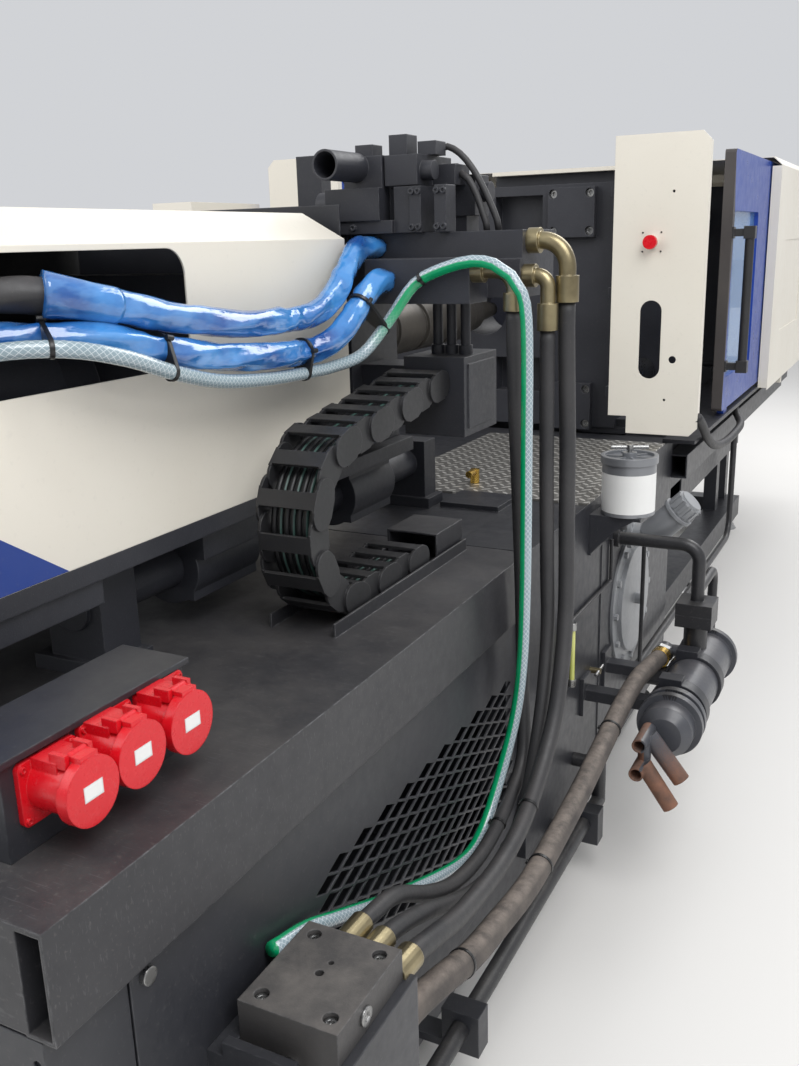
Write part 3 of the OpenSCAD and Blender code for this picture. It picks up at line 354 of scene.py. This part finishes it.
looks["level"] = coat("level_glass", (186, 190, 96), (206, 208, 122), 0.18, scale=9, spec=0.8)
looks["edge"] = coat("door_edge", (62, 58, 58), (74, 70, 68), 0.5, scale=4)
looks["tie"] = coat("cable_tie", (18, 18, 19), (24, 24, 26), 0.35, scale=9)
looks["tread"] = tread_material()
looks["film"] = film_material()
looks["water"] = water_material()
looks["wires"] = wire_material()
looks["pane"] = glass_material("tinted_pane", (120, 160, 208), 0.55)

NODE_LOOKS = {
    "sheet": ["bed_frame", "vent_panel", "base_panels", "socket_box", "oil_tank", "outlet_bracket",
              "filter_bracket", "pipe_clamps"],
    "deck": ["deck_tray"],
    "cast": ["fixed_platen", "tie_bar_caps", "end_platen", "moving_platen", "front_housing",
             "valve_stack", "drive_plate", "carriage_base", "junction_box", "guide_bars", "pump_motor"],
    "block": ["outlet_block"],
    "pipe": ["oil_pipes", "rear_door_handle"],
    "cooler": ["oil_cooler"],
    "heat": ["barrel"],
    "white": ["guard_panel", "clamp_cover", "operator_panel", "injection_cover"],
    "blue": ["rear_door", "front_door"],
    "trim": ["cover_trim"],
    "red": ["socket_housings", "lid_near", "lid_mid", "lid_far", "estop_button"],
    "steel": ["levelling_feet", "cap_screws", "tie_bars", "ejector_plate", "screw",
              "filter_handle", "panel_lock"],
    "zinc": ["hose_elbows"],
    "silver": ["tank_cover", "filler_neck", "filler_cap"],
    "canister": ["filter_canister"],
    "copper": ["water_stubs"],
    "rubber": ["hose_a", "hose_b", "hose_c"],
    "dusty": ["side_hose"],
    "plastic": ["drag_chain"],
    "water": ["water_hose"],
    "film": ["wrapped_hose_upper", "wrapped_hose_lower"],
    "tread": ["tread_plate"],
    "pane": ["rear_door_window"],
}
for look, names in NODE_LOOKS.items():
    for n in names:
        nodes[n].data.materials.clear()
        nodes[n].data.materials.append(looks[look])


def paint(node, look, test):
    """Gives the faces of a CAD mesh whose centre passes the test another material."""
    o = nodes[node]
    o.data.materials.append(looks[look])
    slot = len(o.data.materials) - 1
    for f in o.data.polygons:
        if test(o.matrix_world @ f.center):
            f.material_index = slot


# pipe from the valves towards the clamp, and its coupling
paint("valve_stack", "gold", lambda p: p.y > -1.435)
paint("valve_stack", "steel", lambda p: -0.781 < p.y < -0.739)
# brackets behind the guard, without the white strip over the platen
GUARD_BACK, GUARD_SIDE, STRIP_Z = -0.3165, 0.4665, DECK + 0.8
paint("guard_panel", "cast",
      lambda p: (p.y > GUARD_BACK or abs(p.x) < GUARD_SIDE) and p.z < STRIP_Z)
# near edge of the sliding door
door_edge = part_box("rear_door")[0][1] + 0.012
paint("rear_door", "edge", lambda p: p.y < door_edge)
# inner faces of the cover's side walls, seen through its cutout, coloured near black as painted shade
COVER_INSIDE = 0.331    # half the width between them
paint("injection_cover", "dark", lambda p: abs(abs(p.x) - COVER_INSIDE) < 0.0004)
# what stands above the cooler's body
paint("oil_cooler", "pipe", lambda p: p.z > 0.46)
# upper part of the slanting stubs
paint("water_stubs", "cooler", lambda p: p.z > 0.345 and p.x > 0.852 and p.x < 0.90)


# Geometry helpers

def mm(points):
    """Points in millimetres, as in the CAD source, turned into metres."""
    return [(x / 1000.0, y / 1000.0, z / 1000.0) for x, y, z in points]


def add(name, verts, faces, mat, body, smooth=True):
    """A mesh object that rides on body, or on nothing yet where body is None."""
    mesh = bpy.data.meshes.new(name)
    mesh.from_pydata(verts, [], faces)
    mesh.materials.append(mat)
    if smooth:
        mesh.polygons.foreach_set("use_smooth", [True] * len(faces))
    o = bpy.data.objects.new(name, mesh)
    bpy.context.scene.collection.objects.link(o)
    if body:
        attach(o, body)
    return o


def smooth_line(points, step_length):
    """Catmull-Rom line through the points, sampled about every step_length."""
    p = [Vector(q) for q in points]
    p = [p[0] * 2 - p[1]] + p + [p[-1] * 2 - p[-2]]
    out = []
    for i in range(1, len(p) - 2):
        n = max(1, int((p[i + 1] - p[i]).length / step_length))
        for k in range(n):
            t = k / n
            a, b, c, d = p[i - 1], p[i], p[i + 1], p[i + 2]
            out.append(0.5 * ((2 * b) + (c - a) * t + (2 * a - 5 * b + 4 * c - d) * t * t
                              + (3 * b - a - 3 * c + d) * t ** 3))
    out.append(p[-2].copy())
    return out


def distances(line):
    """How far along the line each of its points lies."""
    runs = [0.0]
    for a, b in zip(line, line[1:]):
        runs.append(runs[-1] + (b - a).length)
    return runs


def at(line, share):
    """The point at a share of the line's length, and the direction there."""
    runs = distances(line)
    want = share * runs[-1]
    i = next(i for i in range(len(line) - 1) if runs[i + 1] >= want)
    piece = line[i + 1] - line[i]
    return line[i].lerp(line[i + 1], (want - runs[i]) / piece.length), piece.normalized()


def spokes(u, w, sides):
    """The angle and direction of each point of a ring in the plane of u and w."""
    for k in range(sides):
        angle = 2 * math.pi * k / sides
        yield angle, u * math.cos(angle) + w * math.sin(angle)


def sweep(name, line, radius, mat, body, sides=16, seam=None):
    """Round tube along a line; radius may be a function of the share of its length and the angle.
    seam is (ring, direction): the side of that ring where the texture's seam lies."""
    runs = distances(line)
    total = runs[-1]
    frames, verts, faces, uvs = [], [], [], []
    u = (line[1] - line[0]).normalized().orthogonal().normalized()
    for i, p in enumerate(line):
        t = (line[min(i + 1, len(line) - 1)] - line[max(i - 1, 0)]).normalized()
        u = (u - t * u.dot(t)).normalized()
        w = t.cross(u)
        frames.append((u, w))
        for angle, d in spokes(u, w, sides):
            r = radius(runs[i] / total, angle) if callable(radius) else radius
            verts.append(p + d * r)
    shift = 0.0
    if seam:
        u, w = frames[seam[0]]
        d = Vector(seam[1])
        shift = math.atan2(d.dot(w), d.dot(u)) / (2 * math.pi)
    for i in range(len(line) - 1):
        v0, v1 = runs[i] / total, runs[i + 1] / total
        for k in range(sides):
            a, b = i * sides + k, i * sides + (k + 1) % sides
            faces.append((a, b, b + sides, a + sides))
            u0, u1 = k / sides - shift, (k + 1) / sides - shift
            uvs += [(u0, v0), (u1, v0), (u1, v1), (u0, v1)]
    last = (len(line) - 1) * sides
    faces += [tuple(range(sides - 1, -1, -1)), tuple(range(last, last + sides))]
    uvs += [(0, 0)] * sides + [(0, 1)] * sides
    o = add(name, verts, faces, mat, body)
    layer = o.data.uv_layers.new(name="UVMap")
    layer.data.foreach_set("uv", [c for q in uvs for c in q])
    return o


def prism(name, near, far, mat, body):
    """Solid between two rings that have as many points each."""
    n = len(near)
    faces = [(k, (k + 1) % n, n + (k + 1) % n, n + k) for k in range(n)]
    faces += [tuple(range(n - 1, -1, -1)), tuple(range(n, 2 * n))]
    return add(name, near + far, faces, mat, body, smooth=False)


def cyl(name, a, b, r, mat, body, sides=24):
    """Cylinder from a to b."""
    a, b = Vector(a), Vector(b)
    t = (b - a).normalized()
    u = t.orthogonal().normalized()
    rim = [d * r for _, d in spokes(u, t.cross(u), sides)]
    return prism(name, [a + d for d in rim], [b + d for d in rim], mat, body)


def boxy(name, lo, hi, mat, body):
    """Upright box between two corners."""
    x0, y0, z0 = lo
    x1, y1, z1 = hi
    verts = [(x, y, z) for x in (x0, x1) for y in (y0, y1) for z in (z0, z1)]
    faces = [(0, 1, 3, 2), (4, 6, 7, 5), (0, 4, 5, 1), (2, 3, 7, 6), (0, 2, 6, 4), (1, 5, 7, 3)]
    return add(name, verts, faces, mat, body, smooth=False)


# Hoses on the side: the points and the radius in millimetres

ROUTES = {
    "hose_a": ([(669, -1700, 1375.7), (669, -1700, 1330), (671, -1695, 1200), (672, -1684, 1080),
                (671, -1668, 960), (669, -1652, 840), (668, -1642, 730), (672, -1648, 620),
                (689, -1690, 500), (691, -1780, 440), (691, -1908, 407), (692, -2040, 424),
                (694, -2150, 474), (698, -2270, 548), (700, -2350, 568), (700, -2400, 574),
                (700, -2435.7, 574)], 13.5),
    "hose_b": ([(702, -1612, 1334.7), (702, -1612, 1290), (703, -1613, 1200), (705, -1614, 1040),
                (708, -1614, 880), (712, -1618, 740), (719, -1668, 600), (721, -1745, 462),
                (721, -1840, 386), (721, -1980, 392), (723, -2110, 440), (728, -2230, 502),
                (733, -2330, 545), (737, -2390, 563), (737, -2414, 566), (737, -2435.7, 566)], 14),
    "hose_c": ([(731, -1588, 1384.7), (731, -1588, 1340), (733, -1586, 1240), (735, -1581, 1110),
                (738, -1586, 940), (745, -1604, 800), (752, -1644, 690), (755, -1700, 590),
                (755, -1786, 512), (758, -1890, 466), (764, -2020, 460), (772, -2190, 487),
                (777, -2300, 522), (778, -2360, 541), (778, -2400, 550.5), (778, -2418, 552),
                (778, -2435.7, 552)], 16),
    "side_hose": ([(790, -896.3, 435), (790, -925, 435), (786, -1020, 446), (780, -1136, 452),
                   (777, -1260, 438), (778, -1421, 412), (782, -1604, 390), (784, -1753, 378),
                   (785, -1917, 370), (785, -2075, 390), (786, -2190, 412), (782, -2280, 436),
                   (775, -2350, 449), (771.5, -2392, 452), (771, -2412, 452),
                   (771, -2435.7, 452)], 22.5),
    "water_hose": ([(286, -2640, 1366), (350, -2590, 1386), (406, -2525, 1386),
                    (428, -2440, 1366), (424, -2351, 1338), (412, -2236, 1311),
                    (404, -2100, 1296), (402, -1960, 1291), (404, -1890, 1292),
                    (420, -1812, 1306), (450, -1762, 1362), (494, -1741, 1426),
                    (552, -1738, 1453), (606, -1738, 1464), (646, -1738, 1458),
                    (678, -1738, 1438), (698, -1737, 1408), (706, -1737, 1366),
                    (708, -1736, 1280), (708, -1736, 1160), (708, -1736, 1000), (706, -1733, 860),
                    (699, -1726, 720), (684, -1722, 600), (668, -1760, 486), (661, -1840, 402),
                    (660, -1950, 398), (652, -2180, 476), (646, -2350, 548), (638.7, -2430, 580),
                    (638.7, -2510, 602)], 11),
}
HOSE_STEP = 0.02
HOSE_SIDES = 18

lines, radii = {}, {}
for n, (points, radius_mm) in ROUTES.items():
    line = lines[n] = smooth_line(mm(points), HOSE_STEP)
    r = radii[n] = radius_mm / 1000.0
    if n == "side_hose":
        o = sweep(n + "_soft", line, r, looks["dusty"], "base", sides=HOSE_SIDES)
    elif n == "water_hose":
        # where the hose falls straight, its green stripe looks inwards and to the injection end
        fall = min(range(len(line)), key=lambda i: abs(line[i].z - 1.0) + abs(line[i].y + 1.736))
        o = sweep(n + "_soft", line, r, looks["water"], None, sides=HOSE_SIDES,
                  seam=(fall, (-0.62, -0.785, 0)))
        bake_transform(o)
    else:
        o = sweep(n + "_soft", line, r, looks["rubber"], None, sides=HOSE_SIDES)
        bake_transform(o)
    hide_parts(n)

# crimped ferrules of the pressure hoses, at the block
PRESSURE_HOSES = ("hose_a", "hose_b", "hose_c")
FERRULE_START = 0.965    # share of the hose's length
FERRULE_WALL = 0.0045
for n in PRESSURE_HOSES:
    start, _ = at(lines[n], FERRULE_START)
    cyl(n + "_ferrule", start, lines[n][-1], radii[n] + FERRULE_WALL, looks["zinc"], "base", 20)


# Film wrapped hoses

def crumpled(r, seed, pinches):
    """Radius of baggy film: sharp folds all along, and puckers towards each pinch, where it is narrow."""
    fold_depth, pucker_depth, bag = 0.0009, 0.0008, 0.0012
    pinch_reach = 0.05    # share of the hose's length
    rng = random.Random(seed)

    def waves(turns, lobes, weight):
        """Five random waves: turns along the hose, lobes round it, a phase and a weight."""
        return [(rng.uniform(*turns), rng.randint(*lobes), rng.uniform(0, 6.28), rng.uniform(*weight))
                for _ in range(5)]

    def ridges(some_waves, s, angle):
        """Sum of the waves, each with sharp crests."""
        return sum(weight * (1.0 - 2.0 * abs(math.sin(0.5 * (turns * s * 6.283 + lobes * angle + phase))))
                   for turns, lobes, phase, weight in some_waves)

    folds = waves((1.0, 7.0), (2, 5), (0.5, 1.0))
    puckers = waves((14, 30), (1, 3), (0.3, 0.8))

    def radius(s, angle):
        swell = min(1.0, min(abs(s - q) for q in pinches) / pinch_reach)
        v = fold_depth * ridges(folds, s, angle)
        v += pucker_depth * ridges(puckers, s, angle) * (1.3 - swell)
        return r + v + bag * swell - 0.5 * bag
    return radius


def flare(s, angle):
    """Radius of the film's open end, widest and most uneven at the mouth."""
    inner_end = 0.0245
    mouth = 0.008 + 0.003 * math.sin(2 * angle + 1.0) + 0.001 * math.sin(5 * angle)
    return inner_end + (1.0 - s) ** 2 * mouth


WRAPS = {
    "wrapped_hose_upper": [(250, -2600, 1440), (330, -2520, 1450), (380, -2430, 1434),
                            (390, -2290, 1406), (390, -2144, 1386), (390, -1995, 1381),
                            (390, -1915, 1388), (385, -1845, 1413), (377, -1790, 1449),
                            (368, -1742, 1477), (359, -1704, 1489.5), (356, -1668, 1490.5),
                            (356, -1625.3, 1490.5)],
    "wrapped_hose_lower": [(250, -2620, 1388), (330, -2530, 1396), (384, -2440, 1388),
                            (398, -2343, 1366), (398, -2227, 1346), (398, -2090, 1331),
                            (399, -1950, 1327), (404, -1884, 1339), (411, -1840, 1365),
                            (417, -1806, 1395), (421, -1778, 1419), (422, -1750, 1431),
                            (422, -1720.3, 1431)],
}
WRAP_R = 0.022
FILM_WALL = 0.0002
WRAP_STEP = 0.006
FILM_SIDES = 48
# shares of the length where the film is drawn in; on the lower hose the ties sit there
PINCHES = {"wrapped_hose_upper": (0.62, 0.84), "wrapped_hose_lower": (0.155, 0.33, 0.70, 0.90)}
BARE = 0.135        # share of the upper hose that its film leaves bare
SLEEVE_RINGS = 17   # rings of the film's open end

for n, points in WRAPS.items():
    line = lines[n] = smooth_line(mm(points), WRAP_STEP)
    film = crumpled(WRAP_R + FILM_WALL, n, PINCHES[n])
    o = sweep(n + "_film", line, film, looks["film"], "carriage", sides=FILM_SIDES)
    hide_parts(n)

    if n == "wrapped_hose_upper":
        first = int(BARE * len(line))
        o.data.materials.append(looks["rubber"])
        for f in o.data.polygons[:first * FILM_SIDES]:
            f.material_index = 1

upper = lines["wrapped_hose_upper"]
first = int(BARE * len(upper))
sweep("film_sleeve", upper[first:first + SLEEVE_RINGS], flare, looks["film"], "carriage",
      sides=FILM_SIDES)


# Cable chain

def chain_line():
    """Middle line of the cables: along the deck, round the bend and up to the carriage."""
    x, low_y, low_z = 0.455, -1.748, DECK + 0.033
    straight, bend_r, bend_z = 0.24, 0.137, DECK + 0.170
    turn_y, top_z = -1.988, DECK + 0.307
    rise_y, rise_z = 0.99, 0.14    # direction of the run to the carriage
    first, length, count = 0.03, 0.99, 60
    out = []
    for i in range(count):
        s = first + i * (length / (count - 1))
        if s < straight:
            out.append(Vector((x, low_y - s, low_z)))
        elif s < straight + math.pi * bend_r:
            a = (s - straight) / bend_r
            out.append(Vector((x, turn_y - bend_r * math.sin(a), bend_z - bend_r * math.cos(a))))
        else:
            u = s - straight - math.pi * bend_r
            out.append(Vector((x, turn_y + u * rise_y, top_z + u * rise_z)))
    return out


# the chain bends between the bed and the carriage, so a copy that rides on no body stands for its node
links = bpy.data.objects.new("drag_chain_links", nodes["drag_chain"].data.copy())
bpy.context.scene.collection.objects.link(links)
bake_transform(links)
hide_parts("drag_chain")

CABLES, CABLE_R, CABLE_PITCH = 7, 0.0055, 0.012
middle = chain_line()
for k in range(CABLES):
    beside = Vector((-0.036 + CABLE_PITCH * k, 0, 0))
    o = sweep("chain_cable_%d" % k, [p + beside for p in middle], CABLE_R, looks["wires"], None, sides=8)
    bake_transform(o)


# Dark plate that closes the injection cover against the front housing

PLATE_X = COVER_INSIDE - 0.003
boxy("cover_end_plate", (-PLATE_X, -1.7165, 1.40), (PLATE_X, -1.7135, 1.57), looks["sheet"], "carriage")


# Ties round the hoses

TIE_W = 0.006
TIE_WALL = 0.0016         # of a tie round one hose
PAIR_TIE_WALL = 0.0018    # of a tie round two hoses


def band(name, hose, share, body):
    """A tie round a hose of the side, with its small head."""
    p, t = at(lines[hose], share)
    r = radii[hose]
    cyl(name, p - t * TIE_W / 2, p + t * TIE_W / 2, r + TIE_WALL, looks["tie"], body, 24)
    side = t.cross(Vector((0, 0, 1))).normalized() if abs(t.z) < 0.9 else Vector((0.7, -0.7, 0))
    head = p + side * (r + 0.003)
    cyl(name + "_head", head - t * TIE_W * 0.7, head + t * TIE_W * 0.7, 0.0035, looks["tie"], body, 8)


def band_pair(name, line, share, r, other, other_r, body):
    """A tie round two hoses that lie side by side."""
    r, other_r = r + PAIR_TIE_WALL, other_r + PAIR_TIE_WALL
    p, t = at(line, share)
    q = min(other, key=lambda c: (c - p).length)
    q = q - t * (q - p).dot(t)
    u = (q - p).normalized()
    w = t.cross(u)
    ring = [max((p + d * r, q + d * other_r), key=lambda c: c.dot(d)) for _, d in spokes(u, w, 48)]
    half = t * (TIE_W / 2)
    prism(name, [c - half for c in ring], [c + half for c in ring], looks["tie"], body)
    head = p - w * (r + 0.002)
    cyl(name + "_head", head - t * TIE_W, head + t * TIE_W, 0.004, looks["tie"], body, 8)


for i, share in enumerate(PINCHES["wrapped_hose_lower"]):
    band_pair("wrapped_hose_tie_%d" % i, lines["wrapped_hose_lower"], share, WRAP_R,
              lines["water_hose"], radii["water_hose"], "carriage")
for i, share in enumerate((0.3, 0.62, 0.86)):
    band("side_hose_tie_%d" % i, "side_hose", share, "base")
band("water_hose_tie", "water_hose", 0.353, "carriage")
for n in PRESSURE_HOSES:
    band(n + "_tie", n, 0.62, "base")


# Thin hoses that no CAD node stands for

PILOT_R = 0.0065
BED_HOSE_R = 0.014


def loose(name, points, r, body):
    """A thin black hose between two parts of the machine."""
    line = smooth_line(mm(points), 0.012)
    o = sweep(name, line, r, looks["rubber"], body, sides=14)


loose("pilot_hose_long", [(440, -1527, 1657.5), (446, -1527, 1671), (466, -1527, 1675),
                          (492, -1527, 1661), (516, -1527, 1635), (538, -1527, 1600),
                          (558, -1527, 1560), (569, -1527, 1534), (572, -1527, 1516.5)],
      PILOT_R, "carriage")
loose("pilot_hose_short", [(500.5, -1545, 1624), (518, -1545, 1611), (534, -1545, 1582),
                           (546, -1545, 1550), (553, -1545, 1531), (555, -1545, 1516.5)],
      PILOT_R, "carriage")
loose("bed_hose", [(705, 560, 879.6), (706, 556, 858), (722, 530, 836), (742, 470, 822),
                   (748, 380, 814), (748, 158, 812), (748, -53, 834), (747, -190, 880),
                   (746, -260, 922), (743, -305, 952), (740, -326, 966), (737, -338.5, 970)],
      BED_HOSE_R, "base")


# Small fittings of the photograph

def side_hose_nut():
    """Swivel nut and collar where the side hose leaves the cooler."""
    x, z = 0.790, 0.435
    cyl("side_hose_nut", (x, -0.916, z), (x, -0.897, z), 0.028, looks["steel"], "base", 6)
    cyl("side_hose_collar", (x, -0.945, 0.4351), (x, -0.917, z), 0.0255, looks["brass"], "base", 24)


def tank_fittings():
    """Level glass, thin pipes, cover rod and drain valve on the tank wall."""
    glass_x, glass_y = 0.666, -1.299
    cyl("level_glass", (glass_x, glass_y, 0.50), (glass_x, glass_y, 0.625), 0.006,
        looks["level"], "base", 14)
    for z in (0.492, 0.633):
        cyl("level_end_%d" % (z * 1000), (glass_x, glass_y, z - 0.009), (glass_x, glass_y, z + 0.009),
            0.009, looks["steel"], "base", 12)
    near, far = (0.650, -1.270, 0.628), (0.650, -0.925, 0.628)
    foot, top = (0.650, -1.270, 0.50), (0.650, -0.925, 0.74)
    for i, (a, b) in enumerate(((far, near), (near, foot), (far, top))):
        cyl("tank_line_%d" % i, a, b, 0.0045, looks["pipe"], "base", 12)
    cyl("tank_line_end", (0.650, -1.270, 0.47), foot, 0.008, looks["steel"], "base", 12)
    cyl("cover_rod", (0.692, -0.745, 0.33), (0.692, -0.745, 0.70), 0.006, looks["pipe"], "base", 12)
    cyl("tank_valve_body", (0.644, -1.075, 0.432), (0.672, -1.075, 0.432), 0.008,
        looks["zinc"], "base", 12)
    cyl("tank_valve_lever", (0.668, -1.105, 0.432), (0.668, -1.045, 0.436), 0.004,
        looks["steel"], "base", 10)


def arc_patch(name, centre, r, z0, z1, a0, a1, mat, body, steps=28):
    """Thin upright sheet bent round a centre, from angle a0 to a1 in degrees."""
    verts = []
    for i in range(steps + 1):
        a = math.radians(a0 + (a1 - a0) * i / steps)
        for z in (z0, z1):
            verts.append((centre[0] + r * math.cos(a), centre[1] + r * math.sin(a), z))
    faces = [(2 * i, 2 * i + 2, 2 * i + 3, 2 * i + 1) for i in range(steps)]
    add(name, verts, faces, mat, body)


def labels():
    """Bare white labels on the filter and the socket lids."""
    arc_patch("filter_label", (0.723, -1.060), 0.0643, DECK - 0.018, DECK + 0.076, -170, 15,
              looks["label"], "base")
    for n, y, z in (("near", -2.749, 0.953), ("mid", -2.670, 0.958), ("far", -2.582, 0.957)):
        boxy("lid_label_" + n, (0.599, y - 0.014, z - 0.008), (0.5995, y + 0.014, z + 0.010),
             looks["label"], "lid_" + n)


def stop_screws():
    """Four screws round the emergency stop."""
    stop_x, stop_z = 0.583, DECK + 0.6
    for i, (dx, dz) in enumerate(((-27, 27), (27, 27), (-27, -27), (27, -27))):
        x, z = stop_x + dx / 1000, stop_z + dz / 1000
        cyl("stop_screw_%d" % i, (x, -0.3435, z), (x, -0.342, z), 0.0026, looks["tie"], "base", 10)


def deck_fitting():
    """Brass fitting on the deck, with an arm."""
    x, y = 0.306, -1.023
    arm_z = DECK + 0.035
    cyl("deck_fitting", (x, y, DECK + 0.005), (x, y, DECK + 0.042), 0.013, looks["brass"], "base", 6)
    cyl("deck_fitting_arm", (x, y, arm_z), (x, -1.065, arm_z), 0.009, looks["brass"], "base", 14)


side_hose_nut()
tank_fittings()
labels()
stop_screws()
deck_fitting()


# Floor, light and camera

def stage_floor():
    mat, tree, shader = new_mat("floor_plain")
    col = mix(tree, noise(tree, coords(tree), 0.7, 5), lin(226, 224, 220), lin(232, 230, 227))
    tree.links.new(col, shader.inputs["Base Color"])
    shader.inputs["Roughness"].default_value = 0.7
    half = 60
    corners = [(-half, -half, 0), (half, -half, 0), (half, half, 0), (-half, half, 0)]
    add("floor", corners, [(0, 1, 2, 3)], mat, None, smooth=False)


def lights():
    world = bpy.data.worlds.new("studio")
    bpy.context.scene.world = world
    world.use_nodes = True
    bg = world.node_tree.nodes["Background"]
    bg.inputs[0].default_value = lin(236, 238, 242)
    bg.inputs[1].default_value = 0.76
    for name, place, target, size, power in (
            ("key", (3.2, -3.6, 5.2), (0.2, -1.2, 0.8), 3.5, 215),
            ("fill", (-3.5, -4.5, 4.0), (0, -1.0, 1.0), 4.0, 100),
            ("back", (1.5, 4.5, 5.0), (0.2, 0.5, 1.0), 4.0, 200)):
        d = bpy.data.lights.new(name, "AREA")
        d.size = size
        d.energy = power
        o = bpy.data.objects.new(name, d)
        bpy.context.scene.collection.objects.link(o)
        o.location = place
        o.rotation_euler = (Vector(target) - Vector(place)).to_track_quat("-Z", "Y").to_euler()


def camera():
    """The photograph's camera, solved from the machine's straight edges."""
    place = (1.334, -3.457, 1.5)
    yaw, pitch, roll = math.radians(27.289), math.radians(15.836), math.radians(1.571)
    focal_px, photo_height_px = 1026.2, 1066.0
    sensor_height_mm = 24.0
    ahead = Vector((-math.sin(yaw) * math.cos(pitch), math.cos(yaw) * math.cos(pitch), -math.sin(pitch)))
    right = Vector((math.cos(yaw), math.sin(yaw), 0))
    down = ahead.cross(right)
    rolled_right = right * math.cos(roll) + down * math.sin(roll)
    rolled_down = -right * math.sin(roll) + down * math.cos(roll)
    cam = bpy.data.cameras.new("camera")
    o = bpy.data.objects.new("camera", cam)
    bpy.context.scene.collection.objects.link(o)
    pose = Matrix((rolled_right, -rolled_down, -ahead)).transposed().to_4x4()
    pose.translation = Vector(place)
    o.matrix_world = pose
    cam.sensor_fit = "VERTICAL"
    cam.sensor_height = sensor_height_mm
    cam.lens = sensor_height_mm * focal_px / photo_height_px
    cam.clip_start = 0.05
    cam.clip_end = 200
    bpy.context.scene.camera = o


stage_floor()
lights()
camera()
bpy.context.scene.view_settings.view_transform = "Standard"
